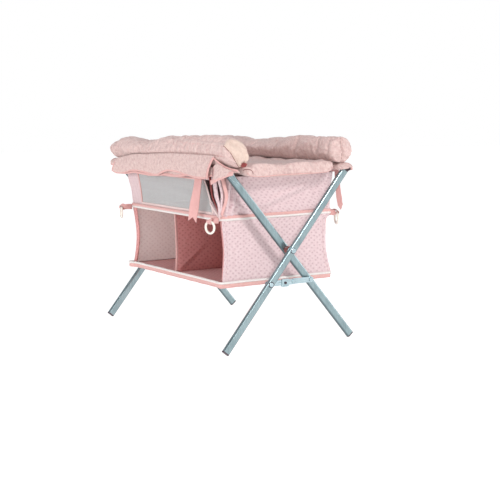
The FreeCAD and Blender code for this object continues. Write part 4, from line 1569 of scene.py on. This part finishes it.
def make_pad():
    n, m = 90, 44
    o = None
    P0 = []
    # a closed, slightly crowned slab
    xs = np.linspace(-268, 268, n)
    bm = bmesh.new()
    hx, hy = 267.0, 108.0
    me = bpy.data.meshes.new("mat_pad_cloth")
    bmesh.ops.create_cube(bm, size=1.0)
    for v in bm.verts:
        v.co = Vector((v.co.x * 2 * hx, v.co.y * 2 * hy, 357.5 + v.co.z * 13.0)) * MM
    bmesh.ops.bevel(bm, geom=list(bm.edges), offset=5 * MM, segments=3, affect="EDGES")
    bm.to_mesh(me)
    bm.free()
    o = bpy.data.objects.new("mat_pad_cloth", me)
    bpy.context.collection.objects.link(o)
    remesh(o, 5.6)

    def pin(x, y, z):
        w = 0.0
        if abs(y) > hy - 6:
            w = 0.8
        if abs(abs(x) - 90) < 3 and z > 357:
            w = max(w, 0.35)
        if z < 352:
            w = max(w, 0.6)
        return w

    puff(o, pin, 6.0, pressure=2.4, frames=16, grow=-0.03)
    refine(o)
    co = coords(o)
    x, y, z = co[:, 0].copy(), co[:, 1].copy(), co[:, 2].copy()
    nv = len(co)
    up = step(354, 361, z)
    z += up * np.array([0.9 * nz(x[i] * 0.016, y[i] * 0.02, 0, 91) + 0.4 * nz(x[i] * 0.06, y[i] * 0.05, 0, 92) for i in range(nv)])
    z += up * 4.5 * step(66, 100, np.abs(y))
    # cross channels sewn in the top
    for cx in (-90, 90):
        z -= up * 1.6 * np.exp(-((x - cx) / 3.0) ** 2) * step(108, 96, np.abs(y))
    # each end rolls over and sags between the rails
    for sx in (1, -1):
        e = step(222, 268, sx * x)
        zc = 357.5
        half = z - zc
        sag = curve(y, [-112, -100, -70, -43, 0, 44, 87, 112], [3.0, 0.5, -2.6, -4.4, -4.6, -3.4, -0.4, 1.4])
        z += e * sag
        z += e * half * curve(y, [-112, -90, -40, 0, 50, 90, 112], [0.1, 0.45, 0.62, 0.62, 0.5, 0.25, 0.0])
        x += sx * step(256, 270, sx * x) * (2.6 + 1.2 * np.array([nz(y[i] * 0.03, z[i] * 0.05, sx, 93) for i in range(nv)]))
        # pleats drawn in to the two tucks beside the bolsters
        for ty, tz, sgn in ((110, 362, -1), (-104, 364, 1)):
            dd = np.hypot(y - ty, (z - tz) * 1.3)
            th = np.arctan2(z - tz, (y - ty) * sgn)
            x -= sx * e * 1.7 * np.exp(-((dd - 12) / 11.0) ** 2) * (0.5 + 0.5 * np.sin(th * 9 + 1))
            x -= sx * e * 2.2 * np.exp(-(dd / 6.0) ** 2)
        # one soft curved fold next to the front tuck
        arcd = np.hypot(y + 99, z - 350.5) - 13
        x -= sx * e * 2.8 * np.exp(-(arcd / 2.2) ** 2) * (z > 349)
        x += sx * e * 1.6 * np.exp(-((arcd - 5.0) / 3.2) ** 2) * (z > 349)
    z = np.maximum(z, 345.0)
    # stay clear of the bolsters' undersides
    for sy in (-1, 1):
        dy, dz = y - sy * BY, z - BZ
        rad = np.hypot(dy, dz)
        inside = (rad < 27.2) & (np.abs(y) > 90)
        k = np.where(inside, 27.2 / np.maximum(rad, 1e-6), 1)
        y, z = sy * BY + dy * k, BZ + dz * k
    y = np.clip(y, -113.5, 113.5)
    set_coords(o, np.stack([x, y, z], 1))

    def fn(c, nrm):
        if abs(nrm[0]) > 0.7:
            return np.stack([c[:, 2], c[:, 1]], 1)
        return np.stack([c[:, 0], c[:, 1]], 1)
    loop_uv(o, fn)
    put(o, "mat", body="mat", replaces=("mat_pad",))
    return o


PAD = make_pad()
tp = surface(PAD)
for cx in (-90, 90):
    ys = np.linspace(-88, 88, 60)
    seam_line("pad_channel_%s" % ("left" if cx < 0 else "right"), tp, [(cx, y, 400) for y in ys], [(0, 0, -1)] * 60, r=0.4)
an = np.radians(np.linspace(120, 14, 40))
# the fold line uses the dark seam colour: painted shade in the fold
across("pad_fold_right", tp, [(-99 + 13.0 * math.cos(a), 350.5 + 12.0 * math.sin(a)) for a in an], "seam", 0.9)
# hem cord under each end of the pad
for sx, lab in ((1, "right"), (-1, "left")):
    ys = np.linspace(-100, 106, 90)
    seam_line("pad_hem_%s" % lab, tp, [(sx * 264.0, y, 320) for y in ys], [(0, 0, 1)] * 90, r=0.9, key="bind", sink=0.0)

for sx, sy, lab in ((1, 1, "right"), (-1, 1, "left"), (-1, -1, "front_left")):
    nu, nvv = 34, 30
    P = np.zeros((nu, nvv, 3))
    UV = []
    for i in range(nu):
        u = i / (nu - 1)
        xx = 236 + 44.5 * math.sin(u * math.pi / 2)
        r = math.sqrt(max(0.03, 1 - max(0, (xx - 262) / 18.6) ** 2))
        row = []
        for j in range(nvv):
            a = math.radians(205 - 232 * j / (nvv - 1))
            ry = (21.5 if math.cos(a) < 0 else 12.6)
            pl = 1 + 0.05 * math.sin(a * 11 + 2 * math.sin(u * 5)) * u
            P[i, j] = (sx * xx, 133.2 * 1.0 + ry * r * math.cos(a) * pl, 357.2 + (9.4 * r * pl) * math.sin(a) + 0.3 * nz(xx * 0.08, a, 0, 96) - (1 - r) * 1.0)
            row.append((xx, 11 * a))
        UV.append(row)
    P[:, :, 1] *= sy
    o = grid("rail_end_hood_%s" % lab, P, UV)
    solid(o, 1.2, 0.0)
    frame_body = "outer_frame" if sy > 0 else "inner_frame"
    put(o, "mat", body=frame_body, squash=False)
    b = sweep("rail_end_hood_hem_%s" % lab, P[:, nvv - 1], lambda i, s: oval(1.3, 2.0, 10, 0.8), up=(0, 0, 1))
    put(b, "bind", body=frame_body, squash=False)

HEM_X = [-246, -222, -205, -187, -152, -98, -51, -20, 0, 20, 42, 60, 100, 149, 190, 207]
HEM_Z = [339.0, 334.5, 335.5, 338.0, 343.4, 344.0, 340.0, 341.0, 346.0, 350.6, 351.6, 350.8, 346.5, 342.5, 343.5, 345.0]
HEM2_X = [-240, -188, -150, -105, -73, -40, -2, 48, 83, 109, 160, 205]
HEM2_Z = [334.0, 334.8, 338.8, 337.4, 336.6, 337.4, 340.6, 339.8, 343.0, 346.5, 347.5, 348.0]


def skirt(name, sy, xl, xr, top, hem, y0, bulge, seed, thick, nx=150, nv=22, key="mat", node=None, flare=1.0):
    """A hanging band of cloth. xl and xr give the left and right edges at the top and bottom."""
    P = np.zeros((nx, nv, 3))
    UV = []
    for i in range(nx):
        u = i / (nx - 1)
        row = []
        for j in range(nv):
            v = j / (nv - 1)
            x = (xl[0] * (1 - v) + xl[1] * v) * (1 - u) + (xr[0] * (1 - v) + xr[1] * v) * u
            zt, zb = float(top(x)), float(hem(x))
            z = zt + (zb - zt) * v
            bu = bulge * math.sin(math.pi * min(1, v * 1.05)) ** 0.8 * (1 + 0.25 * nz(x * 0.012, v, 0, seed))
            wave = flare * v * v * (1.5 * math.sin(x * 0.047 + 0.6) + 0.9 * math.sin(x * 0.081 + 2.0) + 0.8 * nz(x * 0.03, v * 2, 0, seed + 1))
            pk = 0.7 * math.sin(x * 0.42 + 1.7 * math.sin(x * 0.05)) * math.exp(-v * 5)
            rip = 0.5 * nz(x * 0.07, v * 1.6, 3, seed + 2) * v
            y = y0 + bu + wave + pk + rip
            P[i, j] = (x, sy * y, z)
            row.append((x, z))
        UV.append(row)
    o = grid(name, P, UV)
    solid(o, thick, 0.0)
    put(o, key, body="mat", replaces=(node,) if node else ())
    return P


def edge_tape(name, path, inward, normal, width, thick, key="bind", body="mat"):
    """Bias tape folded over an edge: its middle lies half a width in from the edge."""
    path = np.asarray(path, float)
    inward = unit(inward)
    c = path + inward * (width / 2 - 0.8)
    T = unit(np.gradient(c, axis=0))
    N = unit(normal)
    o = sweep(name, c, lambda i, s: oval(thick / 2 * (1 + 0.06 * math.sin(i * 0.9)), width / 2 * (1 + 0.05 * math.sin(i * 0.37)), 12, 0.75), up=inward)
    put(o, key, body=body)
    q = path + inward * (width - 2.0) + N * (thick / 2)
    t = thread(name + "_stitch", q, np.tile(N, (len(q), 1)) if N.ndim == 1 else N, 3.6, 2.4, 0.2)
    if t:
        put(t, "thread", body=body)


top_f = lambda x: curve(x, SEAM_X, SEAM_Z) + 0.3
hem_f = lambda x: curve(x, HEM_X, HEM_Z)
SP = skirt("skirt_front", -1, (-226, -247), (224, 190), top_f, hem_f, 149.4, 3.6, 101, 2.4,
           node="mat_skirt_front")
edge_tape("skirt_front_hem", SP[:, -1], (0, 0.05, 1), (0, -1, 0), 7.0, 3.6)
edge_tape("skirt_front_right_edge", SP[-1][1:], (-1, 0, -0.25), (0, -1, 0), 6.0, 3.4)
edge_tape("skirt_front_left_edge", SP[0][2:], (1, 0, -0.2), (0, -1, 0), 5.0, 3.2)
hem2_f = lambda x: curve(x, HEM2_X, HEM2_Z)
top2_f = lambda x: 366.0 + 0 * x
LP = skirt("skirt_lining", -1, (-236, -240), (206, 203), top2_f, hem2_f, 144.6, 0.6, 111, 1.2,
           key="mat", flare=0.55)
edge_tape("skirt_lining_hem", LP[:, -1], (0, 0.0, 1), (0, -1, 0), 6.0, 2.6)
RS = skirt("skirt_rear", 1, (-206, -209), (206, 209), lambda x: 386.0 + 0 * x,
           lambda x: 342.5 + 2.2 * math.sin(x * 0.031 + 1) + 1.2 * math.sin(x * 0.07), 149.4, 3.2, 121, 2.4,
           node="mat_skirt_rear")
edge_tape("skirt_rear_hem", RS[:, -1], (0, 0, 1), (0, 1, 0), 7.0, 3.6)
edge_tape("skirt_rear_right_edge", RS[-1][1:], (-1, 0, 0), (0, 1, 0), 5.5, 3.2)
edge_tape("skirt_rear_left_edge", RS[0][1:], (1, 0, 0), (0, 1, 0), 5.5, 3.2)


def flap():
    A, B = np.array([221.0, -150.6, 375.5]), np.array([279.0, -140.8, 361.5])
    D, C = np.array([211.5, -153.0, 333.5]), np.array([281.5, -143.0, 354.5])
    n, m = 40, 26
    P = np.zeros((n, m, 3))
    UV = []
    for i in range(n):
        u = i / (n - 1)
        row = []
        for j in range(m):
            v = j / (m - 1)
            top = A + (B - A) * u + np.array([0, -2.0 * math.sin(math.pi * u), 3.0 * math.sin(math.pi * min(1, u * 1.6)) - 7.0 * (1 - u) ** 6])
            bot = D + (C - D) * u + np.array([0, -1.0 * math.sin(math.pi * u), 1.5 * math.sin(math.pi * u)])
            p = top + (bot - top) * v
            # left edge hollows in, cloth bellies out
            p = p + np.array([5.5 * math.sin(math.pi * v) * (1 - u) ** 1.5, -2.4 * math.sin(math.pi * v) * math.sin(math.pi * min(1, u * 1.1)), 0])
            p = p + np.array([0, 0.9 * nz(u * 4, v * 2, 0, 131), 0])
            P[i, j] = p
            row.append((u * 66, v * 40))
        UV.append(row)
    o = grid("end_flap", P, UV)
    solid(o, 1.6, 0.0)
    put(o, "mat", body="mat", replaces=("mat_end_flap",))
    up = unit(P[:, 0] - P[:, -1])
    edge_tape("end_flap_hem", P[:, -1], up, (0.13, -1, 0), 9.0, 3.4)
    edge_tape("end_flap_left_edge", P[0], np.tile([1.0, 0.15, 0], (m, 1)), (0.13, -1, 0), 4.0, 2.6)
    # bound lower edge of the bolster's end, above the flap, and the dark facing behind the gap
    k = np.array([(219.0, -150.8, 386.5), (232.0, -150.0, 379.5), (247.0, -147.0, 372.0), (262.0, -139.5, 365.5), (273.0, -127.0, 361.5)])
    s_ = np.linspace(0, 4, 46)
    C_ = np.stack([curve(s_, range(5), k[:, c]) for c in range(3)], 1)
    t_ = sweep("bolster_end_binding", C_, lambda i, s: oval(1.5, 1.9, 10), up=(0, -0.4, 1))
    put(t_, "bind", body="mat")
    Q = np.zeros((46, 8, 3))
    for i in range(46):
        for j in range(8):
            near = 1 - 0.75 * float(step(20, 45, i))
            Q[i, j] = C_[i] + np.array([-3.0, 4.0, -1.5]) + (np.array([0, 3.0, -13.0 * near]) * j / 7)
    UVq = [[(i, j * 2) for j in range(8)] for i in range(46)]
    q_ = grid("end_flap_facing", Q, UVq)
    solid(q_, 0.8, 0.0)
    put(q_, "mat", body="mat")


flap()

# dark salmon cloth in the tuck at the foot of the front bolster's cap: painted shade in the hollow
n, m = 26, 9
P = np.zeros((n, m, 3))
for i in range(n):
    a = 2 * math.pi * i / n
    for j in range(m):
        k = j / (m - 1)
        rr = 0.4 + (5.0 + 0.5 * math.sin(a * 2 + 0.6)) * k
        P[i, j] = (264.5 + 4.0 * k * k + 0.6 * math.sin(a * 5) * k, -110.5 + rr * math.cos(a) * 1.15, 371.6 + rr * math.sin(a) * 0.8)
UV = [[(i, j) for j in range(m)] for i in range(n + 1)]
o = grid("tuck_lining", P, UV, close_u=True)
solid(o, 0.8, 0.0)
put(o, "tuck", body="mat")


def tie(name, key_pts, width, node, tip, seed, twist):
    """A flat tie: curve of centres, a direction for its width that turns on the way down, and a cut tip."""
    k = np.array(key_pts, float)
    s = np.linspace(0, len(k) - 1, 60)
    C = np.stack([curve(s, np.arange(len(k)), k[:, c]) for c in range(3)], 1)
    L = np.concatenate([[0], np.cumsum(np.linalg.norm(np.diff(C, axis=0), axis=1))])
    m = 11
    P = np.zeros((60, m, 3))
    UV = []
    for i in range(60):
        f = i / 59
        a = math.radians(curve(f, [0, 0.25, 0.6, 1.0], twist))
        wd = np.array([math.cos(a), math.sin(a), 0])
        T = unit(C[min(i + 1, 59)] - C[max(i - 1, 0)])
        wd = unit(wd - T * (wd @ T))
        nrm = np.cross(wd, T)
        row = []
        for j in range(m):
            v = -1 + 2 * j / (m - 1)
            cut = tip * (1 - abs(v)) if tip > 0 else -tip * abs(v)
            sh = step(0.72, 1.0, f) * cut
            p = C[i] + wd * v * width / 2 * (1 + 0.04 * math.sin(i * 0.2)) - T * sh * 1.0
            p = p + nrm * (0.5 * (v * v) * math.sin(f * 7 + seed) + 0.5 * nz(f * 5, v, 0, seed))
            P[i, j] = p
            row.append((v * width / 2, L[i] - sh))
        UV.append(row)
    o = grid(name, P, UV)
    solid(o, 0.9, 0.0)
    put(o, "ribbon", body="mat", replaces=(node,))


tie("tie_front", [(142, -142.3, 352), (143, -142.9, 338), (143, -147.2, 315), (136, -148.6, 290), (127, -147.8, 268), (122.5, -147.6, 252)],
    20.0, "tie_ribbon_front", 10.0, 141, [4, 18, 34, 32])
tie("tie_rear", [(220, 142.2, 352), (220, 142.8, 332), (219, 145.2, 315), (220, 146.6, 298), (224, 146.8, 282), (228, 146.6, 266)],
    12.0, "tie_ribbon_rear", -11.0, 143, [8, 16, 26, 30])

# ------------------------------------------------------------------ each listed piece gets its own mesh data
for o, share in PIECES:
    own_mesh(o)

# ------------------------------------------------------------------ floor, light, camera
bm = bmesh.new()
bmesh.ops.create_circle(bm, cap_ends=True, segments=96, radius=9.0)
me = bpy.data.meshes.new("studio_floor")
bm.to_mesh(me)
bm.free()
fl = bpy.data.objects.new("studio_floor", me)
bpy.context.collection.objects.link(fl)
fl.location = (0, 0, -0.0004)
m, nodes, links, bsdf = blank("studio_floor")
bsdf.inputs["Base Color"].default_value = (0.42, 0.42, 0.42, 1)
bsdf.inputs["Roughness"].default_value = 0.75
bsdf.inputs["Specular IOR Level"].default_value = 0.1
bsdf.inputs["Emission Color"].default_value = (1, 1, 1, 1)
bsdf.inputs["Emission Strength"].default_value = 0.86
fn_ = nodes.new("ShaderNodeTexNoise")
fn_.inputs["Scale"].default_value = 3.0
bp = nodes.new("ShaderNodeBump")
bp.inputs["Strength"].default_value = 0.02
links.new(fn_.outputs["Fac"], bp.inputs["Height"])
links.new(bp.outputs["Normal"], bsdf.inputs["Normal"])
me.materials.append(m)
fl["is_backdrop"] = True

w = bpy.data.worlds.new("studio")
bpy.context.scene.world = w
w.use_nodes = True
wn, wl = w.node_tree.nodes, w.node_tree.links
bg = wn["Background"]
tc = wn.new("ShaderNodeTexCoord")
sp = wn.new("ShaderNodeSeparateXYZ")
wl.new(tc.outputs["Generated"], sp.inputs["Vector"])
cr = wn.new("ShaderNodeValToRGB")
cr.color_ramp.elements[0].position = 0.0
cr.color_ramp.elements[0].color = (1, 1, 1, 1)
cr.color_ramp.elements[1].position = 1.0
cr.color_ramp.elements[1].color = (0.16, 0.165, 0.18, 1)
e = cr.color_ramp.elements.new(0.22)
e.color = (1, 1, 1, 1)
e = cr.color_ramp.elements.new(0.5)
e.color = (0.36, 0.37, 0.39, 1)
wl.new(sp.outputs["Z"], cr.inputs["Fac"])
wl.new(cr.outputs["Color"], bg.inputs["Color"])
bg.inputs["Strength"].default_value = 1.0


def light(name, loc, target, size, power, colour=(1, 1, 1)):
    l = bpy.data.lights.new(name, "AREA")
    l.shape = "RECTANGLE"
    l.size, l.size_y = size
    l.energy = power
    l.color = colour
    o = bpy.data.objects.new(name, l)
    bpy.context.collection.objects.link(o)
    o.location = loc
    o.rotation_euler = (Vector(target) - Vector(loc)).to_track_quat("-Z", "Y").to_euler()
    return o


light("key", (2.9, -0.3, 1.95), (0, 0, 0.25), (0.45, 0.45), 50)
light("front_fill", (-0.3, -2.6, 1.0), (0, 0, 0.3), (1.4, 1.0), 20)
light("strip", (0.3, -0.6, 2.3), (0, 0, 0.2), (0.3, 2.4), 5)
light("rear_fill", (1.15, 2.5, 0.9), (0, 0, 0.25), (0.6, 0.9), 12)

cam = bpy.data.cameras.new("camera")
co_ = bpy.data.objects.new("camera", cam)
bpy.context.collection.objects.link(co_)
F = Vector((-0.8502, 0.5113, -0.1251)).normalized()
U = Vector((-0.1003, 0.0759, 0.9921))
R = F.cross(U).normalized()
U = R.cross(F).normalized()
co_.matrix_world = Matrix(((R.x, U.x, -F.x, 2.3234), (R.y, U.y, -F.y, -1.3353), (R.z, U.z, -F.z, 0.5078), (0, 0, 0, 1)))
cam.lens = 89.07
cam.sensor_width = 36.0
cam.sensor_fit = "HORIZONTAL"
cam.clip_end = 100.0
cam.dof.use_dof = False
bpy.context.scene.camera = co_
bpy.context.scene.view_settings.view_transform = "Standard"
bpy.context.scene.view_settings.look = "None"


def plain(b):
    if isinstance(b, dict):
        return {k: plain(v) for k, v in b.items()}
    if hasattr(b, "__len__") and not isinstance(b, str):
        return [plain(v) for v in b]
    return float(b)


{"cad": plain(CAD_BOX), "visual": plain(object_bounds())}
